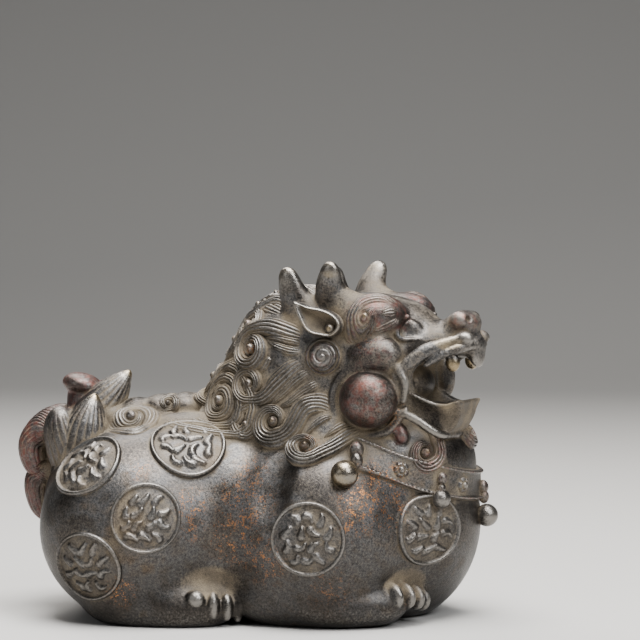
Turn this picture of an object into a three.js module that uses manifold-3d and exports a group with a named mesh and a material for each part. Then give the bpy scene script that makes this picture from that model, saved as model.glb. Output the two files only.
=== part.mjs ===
// A cast bronze pixiu, a lion-like guardian beast, crouching with its head turned and its mouth open.
// The whole figure is one casting, so every form below is joined into one closed solid.
// It faces +X, its left side is +Y and it rests on z = 0. Lengths are in millimetres.

import * as THREE from 'three';
import { mergeVertices } from 'three/addons/utils/BufferGeometryUtils.js';
import Module from 'manifold-3d';

// Driving dimensions.
const figureLength = 90;
const medallionDiameter = 13.6;
const medallionRimWidth = 1;
const medallionRelief = 0.7;
const collarWidth = 5.2;
const collarRelief = 1.3;
const bellDiameter = 5;
const studDiameter = 3;

// The pose, the proportions and the carving are in hundredths of the figure's length.
const share = figureLength / 100;
const sides = [-1, 1];

// The turned head has a frame of its own: x runs to the snout, y to the left ear, z up.
const headAt = new THREE.Vector3(19.3, -4.5, 50);
const headTurn = THREE.MathUtils.degToRad(-19);
const headFrame = new THREE.Matrix4().makeRotationZ(headTurn).setPosition(headAt);
const bodyFrame = new THREE.Matrix4();

// Rounded forms and how they blend

// One rounded form: an ellipsoid with its centre and radii in shares, turned about the axes of its frame.
function form(centre, radii, { frame = bodyFrame, tilt = 0, lean = 0, yaw = 0 } = {}) {
  const degrees = THREE.MathUtils.degToRad;
  const turn = new THREE.Euler(degrees(lean), degrees(-tilt), degrees(yaw), 'ZYX');
  const place = new THREE.Matrix4().makeRotationFromEuler(turn).setPosition(...centre).premultiply(frame);
  return { inverse: place.invert(), radii: new THREE.Vector3(...radii) };
}

// A form and its mirror image across the frame's middle plane.
function pair([x, y, z], radii, { lean = 0, yaw = 0, ...rest } = {}) {
  const turned = (side) => ({ lean: -side * lean, yaw: side * yaw, ...rest });
  return sides.map((side) => form([x, side * y, z], radii, turned(side)));
}

// About how far a point lies outside a form, in shares.
const scratch = new THREE.Vector3();
function distanceTo({ inverse, radii }, point) {
  scratch.copy(point).applyMatrix4(inverse).divide(radii);
  const reach = scratch.length();
  const slope = scratch.divide(radii).length();
  return slope < 1e-9 ? -Math.min(radii.x, radii.y, radii.z) : (reach * (reach - 1)) / slope;
}

// Several forms melted together, with a fillet of the given softness where they meet.
function blend(forms, softness) {
  return (point) => forms.reduce((nearest, each) => {
    const next = distanceTo(each, point);
    const overlap = Math.max(softness - Math.abs(nearest - next), 0) / softness;
    return Math.min(nearest, next) - (overlap * overlap * softness) / 4;
  }, 1e3);
}

// Where a ray that comes in from outside first meets a blended form.
function meet(field, start, direction, reach = 200) {
  const point = start.clone();
  for (let step = 0, gone = 0; step < 120 && gone < reach; step++) {
    const gap = field(point);
    if (Math.abs(gap) < 0.01) break;
    point.addScaledVector(direction, gap * 0.7);
    gone += gap * 0.7;
  }
  return point;
}

function normalAt(field, point) {
  const reach = 0.3;
  const slope = (axis) => {
    const offset = new THREE.Vector3().setComponent(axis, reach);
    return field(point.clone().add(offset)) - field(point.clone().sub(offset));
  };
  return new THREE.Vector3(slope(0), slope(1), slope(2)).normalize();
}

// Forms of the body

const torsoForms = [
  form([-5, 0, 22], [38, 23, 19]),
  form([-2, 0, 12], [32, 21, 14]),
  form([-30, 0, 22], [15.5, 17, 19]),
  form([27, 0, 20], [19.5, 20, 22]),
  form([21, -1.5, 34], [22, 18, 14], { tilt: -12 }),
  form([29.5, -3, 33], [15.5, 15.5, 12]),
  ...pair([-24, 13, 19], [20, 16, 19.5]),
  ...pair([14, 13, 18.5], [19, 16.5, 21]),
  ...pair([14, 16.5, 4.6], [18, 7.5, 5.6], { yaw: -8 }),
  ...pair([-19, 20, 4], [14, 6.5, 5.4], { yaw: 3 }),
];
const torso = blend(torsoForms, 5);

const neckForms = [
  form([6, 0.5, 41], [17, 16.5, 18], { tilt: -40 }),
  form([-9, 0, 3], [15, 15.5, 14.5], { frame: headFrame, tilt: -25 }),
  form([-5, 0, -11], [17, 16.5, 13], { frame: headFrame }),
];
const skullForms = [
  form([1, 0, 3], [15, 13.5, 13.8], { frame: headFrame }),
  form([8, 0, 9.5], [12, 9.5, 7], { frame: headFrame }),
  form([9, 0, -1], [9.5, 12.5, 10], { frame: headFrame }),
];
const neck = blend(neckForms, 5);
const skull = blend([
  ...skullForms,
  ...pair([10, 8.4, 13.2], [7.4, 5.6, 4.6], { frame: headFrame, tilt: 18, yaw: -10 }),
  ...pair([10.2, 12.2, 5], [4.6, 3.8, 4.4], { frame: headFrame }),
  ...pair([9.8, 12.4, -4], [6, 5.2, 6.2], { frame: headFrame }),
], 1.2);
const shoulders = blend([...torsoForms, ...neckForms, ...skullForms], 4);

const muzzle = blend([
  form([13, 0, 6], [11, 8.6, 5.6], { frame: headFrame, tilt: 20 }),
  form([20, 0, 8.6], [8, 4.4, 3.8], { frame: headFrame, tilt: 18 }),
  form([25.4, 0, 11], [3.6, 4.6, 2.8], { frame: headFrame, tilt: 10 }),
  form([25.4, 0, 6.8], [4, 5, 2.6], { frame: headFrame, tilt: 10 }),
  form([28.2, 0, 5], [1.4, 2.6, 3], { frame: headFrame }),
], 2);

// Making solids

const wasm = await Module();
wasm.setup();

// A closed three.js geometry as a solid, with its seams merged.
function solid(geometry) {
  const bare = geometry.clone();
  bare.deleteAttribute('normal');
  bare.deleteAttribute('uv');
  const { attributes, index } = mergeVertices(bare, 1e-4);
  const made = new wasm.Manifold(new wasm.Mesh({
    numProp: 3,
    vertProperties: new Float32Array(attributes.position.array),
    triVerts: closedFaces(index.array),
  }));
  return made;
}

// The faces that are left once the slivers at a pole or a seam are gone.
function closedFaces(corners) {
  const kept = [];
  for (let i = 0; i < corners.length; i += 3) {
    const [a, b, c] = corners.slice(i, i + 3);
    if (a !== b && b !== c && c !== a) kept.push(a, b, c);
  }
  return new Uint32Array(kept);
}

// A three.js geometry with every vertex moved to the place that a function of it gives, in shares.
function reshape(geometry, place) {
  const { position } = geometry.attributes;
  const vertex = new THREE.Vector3();
  for (let i = 0; i < position.count; i++) {
    vertex.fromBufferAttribute(position, i);
    const moved = place(vertex).multiplyScalar(share);
    position.setXYZ(i, moved.x, moved.y, moved.z);
  }
  return geometry;
}

// A blended form as a solid: a sphere whose vertices are drawn in along their rays until they meet it.
function cast(field, centre, detail, floor = -Infinity) {
  const sphere = new THREE.IcosahedronGeometry(1, detail);
  return solid(reshape(sphere, (ray) => {
    const direction = ray.clone().normalize();
    const start = centre.clone().addScaledVector(direction, 80);
    const surface = meet(field, start, direction.negate());
    surface.z = Math.max(surface.z, floor);
    return surface;
  }));
}

const mix = THREE.MathUtils.lerp;
const inHead = (x, y, z) => new THREE.Vector3(x, y, z).applyMatrix4(headFrame);
const alongHead = (x, y, z) => new THREE.Vector3(x, y, z).transformDirection(headFrame);

// A tapering strand: a cylinder whose rings ride on a curve, with half its width and height given along it.
function strand(points, size, outward, { rings = 3, around = 6 } = {}) {
  const curve = new THREE.CatmullRomCurve3(points);
  const frames = Array.from({ length: rings + 1 }, (_, i) => {
    const at = curve.getPoint(i / rings);
    const along = curve.getTangent(i / rings);
    const across = along.clone().cross(outward(at)).normalize();
    return { at, across, out: across.clone().cross(along) };
  });
  return solid(reshape(new THREE.CylinderGeometry(1, 1, 1, around, rings), (v) => {
    const t = v.y + 0.5;
    const { at, across, out } = frames[Math.round(t * rings)];
    const [width, height] = size(t);
    return at.clone().addScaledVector(across, v.x * width).addScaledVector(out, v.z * height);
  }));
}

// A rounded boss with its centre and radii in shares.
function boss([x, y, z], [rx, ry, rz], { frame = bodyFrame, around = 6, tiers = 4 } = {}) {
  const place = (v) => new THREE.Vector3(x + v.x * rx, y + v.z * ry, z - v.y * rz).applyMatrix4(frame);
  return solid(reshape(new THREE.SphereGeometry(1, around, tiers), place));
}

// A turned button facing outward; its profile runs from the buried centre out and back over the top.
function button(at, out, profile, around) {
  const turn = new THREE.Quaternion().setFromUnitVectors(new THREE.Vector3(0, 1, 0), out);
  const lathe = new THREE.LatheGeometry(profile.map(([r, lift]) => new THREE.Vector2(r, lift)), around);
  return solid(reshape(lathe, (v) => v.clone().applyQuaternion(turn).add(at)));
}

// Horns, ears and the face

// A horn like a fin: long from front to back at the root, upright behind and blunt at the tip.
function horn(side, [x, y, z], [tipX, tipY, tipZ]) {
  const points = [
    inHead(x, side * y, z),
    inHead(mix(x, tipX, 0.72), side * mix(y, tipY, 0.5), mix(z, tipZ, 0.45)),
    inHead(tipX, side * tipY, tipZ),
  ];
  const blunt = (t) => Math.sqrt(1 - 0.7 * t ** 8);
  const size = (t) => [mix(3.6, 2, t) * blunt(t), mix(6, 2, t ** 0.6) * blunt(t)];
  return strand(points, size, () => alongHead(1, 0, 0));
}

// An ear: a rounded leaf that stands off the head at its tip, hollowed inside its rim.
const earOutline = [[-5.6, 15.6], [-1, 15], [3, 13], [4.6, 10.6], [2.8, 8.4], [-2.6, 8.6]];
const earDepth = 3;
const earRim = 0.26;
function ear(side) {
  const leaf = (inset, lift) => {
    const points = earOutline.map(([x, z]) => new THREE.Vector2(mix(x, -0.4, inset), mix(z, 11.6, inset)));
    const loop = new THREE.SplineCurve([...points, points[0]]).getPoints(10);
    const outline = new THREE.Shape(loop.slice(0, -1));
    const slab = new THREE.ExtrudeGeometry(outline, { depth: earDepth, bevelEnabled: false });
    return solid(reshape(slab, (v) => {
      const depth = side < 0 ? v.z : earDepth - v.z;
      return inHead(v.x, side * (12.4 + lift + depth + Math.max(2 - v.x, 0) * 0.35), v.y);
    }));
  };
  return leaf(0, 0).subtract(leaf(earRim, 1.8));
}

// The lower jaw: a spout that narrows to the front and leans back to the chin.
function jaw(inset) {
  return solid(reshape(new THREE.BoxGeometry(1, 1, 1, 4, 4, 2), (v) => {
    const forward = v.x + 0.5;
    const rise = v.z + 0.5;
    const half = mix(11, 6.6, forward ** 0.8) * mix(0.7, 1, rise) - inset;
    const front = mix(23, 26.7, rise) - inset;
    const top = mix(-2.2, -5.6, Math.sin(forward * 2.1)) + (inset ? 6 : 0);
    const bottom = mix(-7, -11.3, forward ** 0.8) + inset * 3;
    return inHead(mix(inset ? 13 : 8, front, forward), v.y * 2 * half, mix(bottom, top, rise));
  }));
}

function lips(side) {
  const upper = [[14.5, 10.4, 1], [19.5, 8.6, 4], [25, 5.6, 6.2], [28.6, 2, 6.6]];
  const outward = () => alongHead(0, side, 0);
  const points = upper.map(([x, y, z]) => inHead(x, side * y, z));
  return strand(points, (t) => [mix(1.7, 1.1, t), mix(1.9, 1, t)], outward, { around: 5 });
}

const headBoss = (at, radii, shape) => boss(at, radii, { frame: headFrame, ...shape });
const face = sides.flatMap((side) => [
  horn(side, [-3.6, 9, 10], [-9.6, 12, 22.8]),
  horn(side, [4.6, 8, 12], [-0.6, 12.8, 24]),
  ear(side),
  lips(side),
  headBoss([16, side * 6.8, 10.8], [2.8, 1.8, 2]),
  headBoss([23.4, side * 5.8, 3.4], [1.4, 1.2, 2.2]),
  headBoss([26.2, side * 3.4, 12], [2.2, 1.8, 1.8]),
  headBoss([15.6, side * 9.4, -11.6], [2.4, 2, 3]),
]);
const tongue = headBoss([17, 0, -6.4], [7, 4, 2], { around: 8 });
const mouth = headBoss([18, 0, -0.6], [9, 7.6, 5], { around: 8, tiers: 6 });

// The mane and the other locks

// A view of the neck and back on which locks are drawn: a place outside it, and the way in.
const sideView = (side) => ({
  at: (x, z) => inHead(x, side * 50, z),
  inward: alongHead(0, -side, 0),
});
const backView = (side) => ({
  at: (y, z) => inHead(-60, side * y, z + 24),
  inward: alongHead(0.9, 0, -0.44),
});
const topView = (side) => ({
  at: (x, y) => new THREE.Vector3(x, side * y, 90),
  inward: new THREE.Vector3(0, 0, -1),
});

// A lock: a band that sweeps along its route and runs into a coiled end. width is half its greatest width.
function lock({ at, inward }, route, [endX, endZ], radius, width = 2) {
  const laid = (x, z) => meet(shoulders, at(x, z), inward, 120);
  const outward = (point) => normalAt(shoulders, point);
  const end = laid(endX, endZ);
  const lift = mix(1.2, 2.8, radius / 4);
  const groove = [radius * 0.45, lift * 0.45];
  const coil = [[0, -1.5], [radius, 0], [radius * 0.78, lift * 0.9], groove, [0, lift * 1.1]];
  const made = [button(end, outward(end), coil, radius < 3.3 ? 6 : 7)];
  if (route.length) {
    const size = (t) => [mix(0.5, 1, Math.sin(Math.PI * 0.7 * t)) * width, mix(1.6, 2.8, t)];
    made.push(strand(route.map(([x, z]) => laid(x, z)), size, outward, { around: 4 }));
  }
  return made;
}

const mane = sides.flatMap((side) => [
  ...lock(sideView(side), [[-4, 12], [-9.5, 13.2], [-14, 12], [-17.6, 8.6]], [-16.4, 5.8], 3.4, 2.8),
  ...lock(sideView(side), [[-4.4, 4], [-8.4, 1.6], [-12, -2], [-16, -3.4]], [-16.6, -1.4], 3.3, 3),
  ...lock(sideView(side), [[2, -4.4], [-3.4, -4.8], [-6.6, -7.4], [-8.4, -11.6]], [-11.6, -9.6], 4.4, 3.2),
  ...lock(sideView(side), [[8, -8.4], [3.4, -12], [-0.9, -15.2], [-4.4, -16]], [-4.6, -14.2], 2.9, 2.8),
  ...lock(sideView(side), [], [-19.6, -9.6], 4.3),
  ...lock(sideView(side), [], [-0.8, 5.5], 3.8),
  ...lock(sideView(side), [[16.6, -9.6], [21.4, -12], [23.6, -14.6]], [20.6, -15.4], 2.2, 1.8),
  ...lock(backView(side), [], [4.6, 10], 4.4),
  ...lock(backView(side), [], [4.6, 0.6], 4.6),
  ...lock(backView(side), [], [5, -9.4], 4.8),
]);

// The back and the tail

function ridge() {
  const spine = [[-36, 40], [-27, 42], [-18, 43], [-9, 44], [-3, 47]];
  const points = spine.map(([x, z]) => new THREE.Vector3(x, 0, z));
  const size = (t) => [mix(5.5, 4.4, t) * (1 + 0.18 * Math.sin(t * 16)), 3];
  return strand(points, size, () => new THREE.Vector3(0, 0, 1), { rings: 8 });
}
const backLocks = sides.flatMap((side) => [
  ...lock(topView(side), [], [-24.4, 6.4], 4),
  ...lock(topView(side), [], [-16.6, 6], 3.2),
]);

// A tuft that stands up from the rump, round in section.
function tuft(points, from, to, shape = {}) {
  const size = (t) => Array(2).fill(mix(from, to, t ** 1.3));
  return strand(points.map((p) => new THREE.Vector3(...p)), size, () => new THREE.Vector3(1, 0, 0), shape);
}
const tail = [
  boss([-40, 0.5, 36.6], [4.4, 6, 6], { around: 8 }),
  tuft([[-33, 1, 36], [-37, 2, 43], [-39, 2.5, 49.5]], 5, 3),
  boss([-39, 2.5, 48.4], [3.7, 3.7, 3.6], { around: 7 }),
  tuft([[-35, 0, 35], [-33, 0, 43], [-27, 0, 51]], 6.4, 0.8),
  tuft([[-38, 0, 36], [-43.6, 0, 37], [-45.4, 0, 29], [-43.2, 0, 19]], 6.2, 3, { rings: 5, around: 8 }),
  ...sides.flatMap((side) => [
    tuft([[-38, side * 3, 33], [-36.5, side * 6.6, 40], [-33.6, side * 7, 46.4]], 5.4, 0.9),
    tuft([[-36, side * 4, 33], [-39.5, side * 8, 39], [-42, side * 8.4, 42.6]], 4.4, 1.4),
    boss([-45.4, side * 4.6, 30], [3.4, 2.6, 4.4]),
  ]),
];

// The collar and what hangs on it

const collarCentre = new THREE.Vector3(22, -1, 0);
const collarFront = 27.8;
const collarSide = 37;

// A point on the chest at an angle round the neck from the front, below the collar's middle line by a drop.
function onCollar(angle, drop = 0) {
  const turn = THREE.MathUtils.degToRad(angle);
  const away = new THREE.Vector3(Math.cos(turn), Math.sin(turn), 0);
  const height = mix(collarFront, collarSide, (1 - away.x) / 1.17) - drop;
  const start = collarCentre.clone().addScaledVector(away, 60).setZ(height);
  const at = meet(shoulders, start, away.clone().negate());
  return { at, out: normalAt(shoulders, at) };
}

function collar() {
  const reach = 112;
  const spans = 12;
  const half = collarWidth / 2 / share;
  return solid(reshape(new THREE.BoxGeometry(1, 1, 1, 1, spans, 1), (v) => {
    const { at, out } = onCollar(reach * 2 * v.y, -v.z * 2 * half);
    return at.addScaledVector(out, (v.x > 0 ? collarRelief : -3 * collarRelief) / share);
  }));
}

function pendants() {
  const half = collarWidth / 2 / share;
  const bellRadius = bellDiameter / 2 / share;
  const studRadius = studDiameter / 2 / share;
  const bells = [-92, -50, -4, 42, 84].map((angle) => {
    const { at, out } = onCollar(angle, half + bellRadius * 0.7);
    const centre = at.addScaledVector(out, bellRadius * 0.5);
    return boss(centre.toArray(), Array(3).fill(bellRadius), { around: 8 });
  });
  const studs = [-72, -28, 20, 64].map((angle) => {
    const { at, out } = onCollar(angle);
    const centre = at.addScaledVector(out, collarRelief / share);
    return boss(centre.toArray(), Array(3).fill(studRadius), { around: 4, tiers: 2 });
  });
  return [...bells, ...studs];
}

// The paws

const frontToes = [[31.4, 10, 4.6], [33.4, 13.4, 4.6], [33.2, 17, 4.4], [31, 20.2, 4]];
const hindToes = [[-5.4, 20.8, 3.8], [-4.6, 23.4, 4], [-7, 25.4, 4.2], [-11, 26, 5]];
const paws = sides.flatMap((side) => [
  boss([27.5, side * 15.4, 4.4], [6.4, 7.2, 5], { around: 8 }),
  boss([-13, side * 20.4, 3.6], [9.6, 6, 5], { around: 8 }),
  ...[...frontToes, ...hindToes].map(([x, y, z]) => boss([x, side * y, z], [3.1, 2, 2.9], { around: 5, tiers: 3 })),
]);

// The medallions

// Each one is seen face on along a direction, from a place on the middle plane.
const medallions = [
  { from: [-20, 0, 22.4], toward: [0, 1, 0], size: 0.93 },
  { from: [12.2, 0, 18.7], toward: [0.02, 1, 0], size: 0.99 },
  { from: [-14.6, 0, 20], toward: [0.08, 0.74, 0.66], size: 1.03 },
  { from: [-5.3, 0, 2.1], toward: [-0.6, 0.45, 0.66], size: 1 },
  { from: [-21.5, 0, 19.8], toward: [-0.38, 0.9, -0.24], size: 0.97 },
  { from: [7.5, 0, 19.6], toward: [0.86, 0.52, 0], size: 0.97 },
];

// A low disc with a raised rim that follows the body under it.
function medallion({ from, toward, size }, side) {
  const out = new THREE.Vector3(toward[0], toward[1] * side, toward[2]).normalize();
  const across = new THREE.Vector3(0, 0, 1).cross(out).normalize();
  const rise = out.clone().cross(across);
  const centre = new THREE.Vector3(...from).addScaledVector(out, 60);
  const radius = (medallionDiameter / 2 / share) * size;
  const rim = medallionRimWidth / share;
  const relief = medallionRelief / share;
  const field = relief * 0.35;
  const profile = [[0, -1.5], [radius, -1.2], [radius - rim * 0.4, relief], [radius - rim, field], [0, field]];
  const lathe = new THREE.LatheGeometry(profile.map(([r, lift]) => new THREE.Vector2(r, lift)), 12);
  return solid(reshape(lathe, (v) => {
    const start = centre.clone().addScaledVector(across, v.x).addScaledVector(rise, -v.z);
    return meet(torso, start, out.clone().negate()).addScaledVector(out, v.y);
  }));
}
const badges = sides.flatMap((side) => medallions.map((each) => medallion(each, side)));

// The whole figure, cut flat where it stands and set down about the origin

const joined = (pieces) => wasm.Manifold.union(pieces);
const head = joined([
  cast(skull, inHead(0, 0, 3), 4),
  cast(muzzle, inHead(16, 0, 7), 2),
  jaw(0).subtract(jaw(1.1)),
]).subtract(mouth);
const body = joined([
  cast(torso, new THREE.Vector3(-2, 0, 18), 5, 0),
  cast(neck, new THREE.Vector3(8, 0, 44), 3),
]);
const carving = [...face, tongue, ...mane, ridge(), ...backLocks, ...tail, ...paws, ...badges];
const trim = [...carving, collar(), ...pendants()];
const below = new THREE.BoxGeometry(4 * figureLength, 4 * figureLength, figureLength);
const ground = solid(below.translate(0, 0, -figureLength / 2));
const whole = joined([head, body, ...trim]).subtract(ground);
const { min, max } = whole.boundingBox();
const centred = whole.translate([-(min[0] + max[0]) / 2, -(min[1] + max[1]) / 2, -min[2]]);

const { vertProperties, triVerts } = centred.getMesh();
const geometry = new THREE.BufferGeometry();
geometry.setAttribute('position', new THREE.BufferAttribute(vertProperties, 3));
geometry.setIndex(new THREE.BufferAttribute(triVerts, 1));

const bronze = new THREE.MeshStandardMaterial({ color: 0x5a4c3c, roughness: 0.45, metalness: 0.8 });
const figure = new THREE.Mesh(geometry, bronze);
figure.name = 'pixiu_figure';
const group = new THREE.Group();
group.add(figure);

export default group;
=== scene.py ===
# %% [markdown]
# # A cast bronze pixiu
# The object is a small bronze guardian beast, about 90 mm long, modelled in wax and cast in one piece.
# This lesson dresses its plain CAD solid with the real carving: mane, horns, medallions, collar and bells.
# Each cell makes one part of it, as whole arrays of points worked out with numpy.

# %% Load the packed model
import math

import bpy
import numpy as np
from mathutils import Matrix


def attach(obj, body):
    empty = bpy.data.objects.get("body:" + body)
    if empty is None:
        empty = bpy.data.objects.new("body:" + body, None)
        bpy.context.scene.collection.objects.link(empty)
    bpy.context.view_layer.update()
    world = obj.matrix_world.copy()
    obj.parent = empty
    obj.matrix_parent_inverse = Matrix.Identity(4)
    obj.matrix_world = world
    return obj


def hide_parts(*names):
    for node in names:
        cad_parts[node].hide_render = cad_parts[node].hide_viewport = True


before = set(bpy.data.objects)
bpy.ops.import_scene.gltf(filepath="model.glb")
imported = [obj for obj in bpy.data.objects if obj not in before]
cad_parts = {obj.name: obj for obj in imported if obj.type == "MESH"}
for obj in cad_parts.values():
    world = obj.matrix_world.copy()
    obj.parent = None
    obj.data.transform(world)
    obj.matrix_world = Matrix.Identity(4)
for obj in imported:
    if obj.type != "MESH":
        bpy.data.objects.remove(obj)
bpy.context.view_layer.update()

# %% [markdown]
# ## Units and frames
# The CAD gives the pose in hundredths of the figure's length, and this script does the same.
# A share is 0.9 mm. The CAD then moved the pose a little along x, to put its box over the origin.
# The head is turned, so it has a frame of its own: x to the snout, y to the left ear, z up.

# %% Units and frames
SHARE = 0.0009
CENTRING = np.array([0.1939, 0.0, 0.0])
SIDES = (-1, 1)


def turn(tilt=0.0, lean=0.0, yaw=0.0):
    """A rotation: lean about x, then tilt that lifts the front, then yaw about z, in degrees."""
    l, t, w = np.radians([lean, -tilt, yaw])
    about_x = np.array([[1, 0, 0], [0, np.cos(l), -np.sin(l)], [0, np.sin(l), np.cos(l)]])
    about_y = np.array([[np.cos(t), 0, np.sin(t)], [0, 1, 0], [-np.sin(t), 0, np.cos(t)]])
    about_z = np.array([[np.cos(w), -np.sin(w), 0], [np.sin(w), np.cos(w), 0], [0, 0, 1]])
    return about_z @ about_y @ about_x


BODY = (np.eye(3), np.zeros(3))
HEAD = (turn(yaw=-19), np.array([19.3, -4.5, 50.0]))
UP = np.array([0.0, 0.0, 1.0])


def in_frame(points, where):
    """Points of a turned frame in the body's frame: the rotation times the point, plus the origin."""
    spin, origin = where
    return np.asarray(points, float) @ spin.T + origin


def from_frame(points, where):
    """The way back: the rotation undone on the point less the origin."""
    spin, origin = where
    return (np.asarray(points, float) - origin) @ spin


def unit(v):
    """A vector, or each row of an array, at length one."""
    return v / np.maximum(np.linalg.norm(v, axis=-1, keepdims=True), 1e-12)


def smooth(low, high, x):
    """0 below low, 1 above high, and 3t^2 - 2t^3 between them."""
    t = np.clip((x - low) / (high - low), 0, 1)
    return t * t * (3 - 2 * t)


def steps(count):
    """That many even steps from 0 to 1."""
    return np.linspace(0, 1, count)


def bulge(x):
    """The height of a half circle over x from -1 to 1, and 0 outside: the root of 1 - x^2."""
    return np.sqrt((1 - x**2).clip(0))


def level_with(out):
    """Two directions across another: the first level, the second rising, as on a disc seen face on."""
    first = unit(np.cross(UP, out))
    return first, np.cross(out, first)


print("one share is", SHARE * 1000, "mm")

# %% [markdown]
# ## Rounded forms that melt together
# A wax model has no hard joints: haunch, belly and shoulder are lumps smoothed into each other by thumb.
# Each lump could be a mesh sphere joined by booleans, but its seams would stay sharp.
# So each one is an ellipsoid given by its distance, and a soft minimum of the distances melts them.

# %% Rounded forms


def form(centre, radii, tilt=0.0, lean=0.0, yaw=0.0, where=BODY):
    """One ellipsoid: its centre in the body's frame, its axes as columns and its three radii."""
    spin, _ = where
    return in_frame(centre, where), spin @ turn(tilt, lean, yaw), np.asarray(radii, float)


def pair(centre, radii, tilt=0.0, lean=0.0, yaw=0.0, where=BODY):
    """A form and its mirror image across the middle plane of its frame."""
    x, y, z = centre
    return [form((x, s * y, z), radii, tilt, -s * lean, s * yaw, where) for s in SIDES]


def outside(shape, points):
    """About how far points lie outside an ellipsoid: k(k - 1) / |q / r|, q the point in radii, k = |q|."""
    centre, axes, radii = shape
    q = (points - centre) @ axes / radii
    reach = np.linalg.norm(q, axis=-1)
    return reach * (reach - 1) / np.maximum(np.linalg.norm(q / radii, axis=-1), 1e-9)


def melt(a, b, softness):
    """The smaller of two distances, less h^2 s / 4 where they are within the softness s of each other."""
    h = np.maximum(softness - np.abs(a - b), 0) / softness
    return np.minimum(a, b) - h * h * softness / 4


def carve(a, b, softness):
    """What is left of a once b is cut away, with the cut's edge rounded."""
    return -melt(-a, b, softness)


print("where two lumps cross, the melt adds", -melt(0.0, 0.0, 4.0), "share")

# %% [markdown]
# ## The lumps of the trunk
# The lumps were set against the photograph. Haunches, shoulders and legs come as mirrored pairs,
# and the lumps of the skull, with most of the neck's, lie in the head's own frame.

# %% The lumps of the trunk
torso_forms = [
    form((-5, 0, 22), (38, 23, 19)),
    form((-2, 0, 12), (32, 21, 14)),
    form((-30, 0, 22), (15.5, 17, 19)),
    form((27, 0, 20), (19.5, 20, 22)),
    form((21, -1.5, 34), (22, 18, 14), tilt=-12),
    form((29.5, -3, 33), (15.5, 15.5, 12)),
    *pair((-24, 13, 19), (20, 16, 19.5)),
    *pair((14, 13, 18.5), (19, 16.5, 21)),
    *pair((14, 16.5, 4.6), (18, 7.5, 5.6), yaw=-8),
    *pair((-19, 20, 4), (14, 6.5, 5.4), yaw=3),
    *pair((-13, 10.5, 30.5), (15, 9.5, 9), tilt=-4),
]
neck_forms = [
    form((6, 0.5, 41), (17, 16.5, 18), tilt=-40),
    form((-9, 0, 3), (15, 15.5, 14.5), tilt=-25, where=HEAD),
    form((-5, 0, -11), (17, 16.5, 13), where=HEAD),
]
skull_forms = [
    form((1, 0, 3), (15, 13.5, 13.8), where=HEAD),
    form((8, 0, 9.5), (12, 9.5, 7), where=HEAD),
    form((9, 0, -1), (9.5, 12.5, 10), where=HEAD),
]
FAR_OFF = 1e3


def melted(shapes, softness):
    """A field: the distance to several forms melted together one after another.

    A form is left out where it can't come near: its least distance is over the most that another can have.
    """
    centres = np.array([shape[0] for shape in shapes])
    thick, thin = (np.array([pick(shape[2]) for shape in shapes]) for pick in (np.max, np.min))

    def field(points):
        low, high = points.reshape(-1, 3).min(0), points.reshape(-1, 3).max(0)
        least = np.linalg.norm(np.maximum(0, np.maximum(low - centres, centres - high)), axis=1) - thick
        most = np.linalg.norm(np.maximum(np.abs(low - centres), np.abs(high - centres)), axis=1) - thin
        value = np.full(points.shape[:-1], FAR_OFF)
        for k in np.nonzero(least < most.min() + 2 * softness)[0]:
            value = melt(value, outside(shapes[k], points), softness)
        return value

    return field


def trunk_with(shapes, softness):
    """The trunk with a few small forms melted on to it."""

    def field(points):
        value = trunk(points)
        for shape in shapes:
            value = melt(value, outside(shape, points), softness)
        return value

    return field


TORSO_SOFTNESS, TRUNK_SOFTNESS = 5, 4
torso = melted(torso_forms, TORSO_SOFTNESS)
trunk = melted(torso_forms + neck_forms + skull_forms, TRUNK_SOFTNESS)
print("forms in the trunk:", len(torso_forms + neck_forms + skull_forms))

# %% [markdown]
# ## The camera
# The photograph was taken from far away with a long lens, from the figure's right side and 6 degrees
# round towards its front, a little above it. The picture's middle isn't the lens's axis, which a shift
# could copy. The camera is turned by those two degrees instead, so that other views stay centred.

# %% Camera
LENS_PIXELS, PICTURE, SENSOR = 2544.0, 640, 36.0
CAMERA_DISTANCE, CAMERA_HEIGHT, CAMERA_ROUND = 0.480, 0.071, math.radians(6)
AXIS_PIXEL = (260.0, 236.0)
forward = np.array([-math.sin(CAMERA_ROUND), math.cos(CAMERA_ROUND), 0.0])
rightward = np.array([math.cos(CAMERA_ROUND), math.sin(CAMERA_ROUND), 0.0])
eye = -forward * CAMERA_DISTANCE + UP * CAMERA_HEIGHT


def sight(x, y):
    """The direction in which the photograph's pixel (x, y) looks: forward plus its offset over the lens."""
    x, y = (np.asarray(v, float)[..., None] - middle for v, middle in zip((x, y), AXIS_PIXEL))
    return unit(forward + rightward * x / LENS_PIXELS - UP * y / LENS_PIXELS)


def stand(name, data, at, back):
    """A camera or lamp at a place, with its back to a direction: both look along their own -z."""
    item = bpy.data.objects.new(name, data)
    pose = np.eye(4)
    pose[:3, :3] = np.stack([*level_with(back), back], 1)
    pose[:3, 3] = at
    item.matrix_world = Matrix(pose.tolist())
    bpy.context.scene.collection.objects.link(item)
    return item


camera_data = bpy.data.cameras.new("camera")
camera_data.sensor_width = SENSOR
camera_data.lens = SENSOR * LENS_PIXELS / PICTURE
camera = stand("camera", camera_data, eye, -sight(PICTURE / 2, PICTURE / 2))
bpy.context.scene.camera = camera
print("lens", round(camera_data.lens, 1), "mm")

# %% [markdown]
# ## The small forms of the face, paws and tail
# Brows, cheeks, snout, lips, horns and toes are cut crisper than the body, so each has its own softness.
# Each is added to the trunk, or cut out of it, in order. A form only works near its place, which is quick.

# %% Small forms
ADD, CUT = 1, -1


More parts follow.
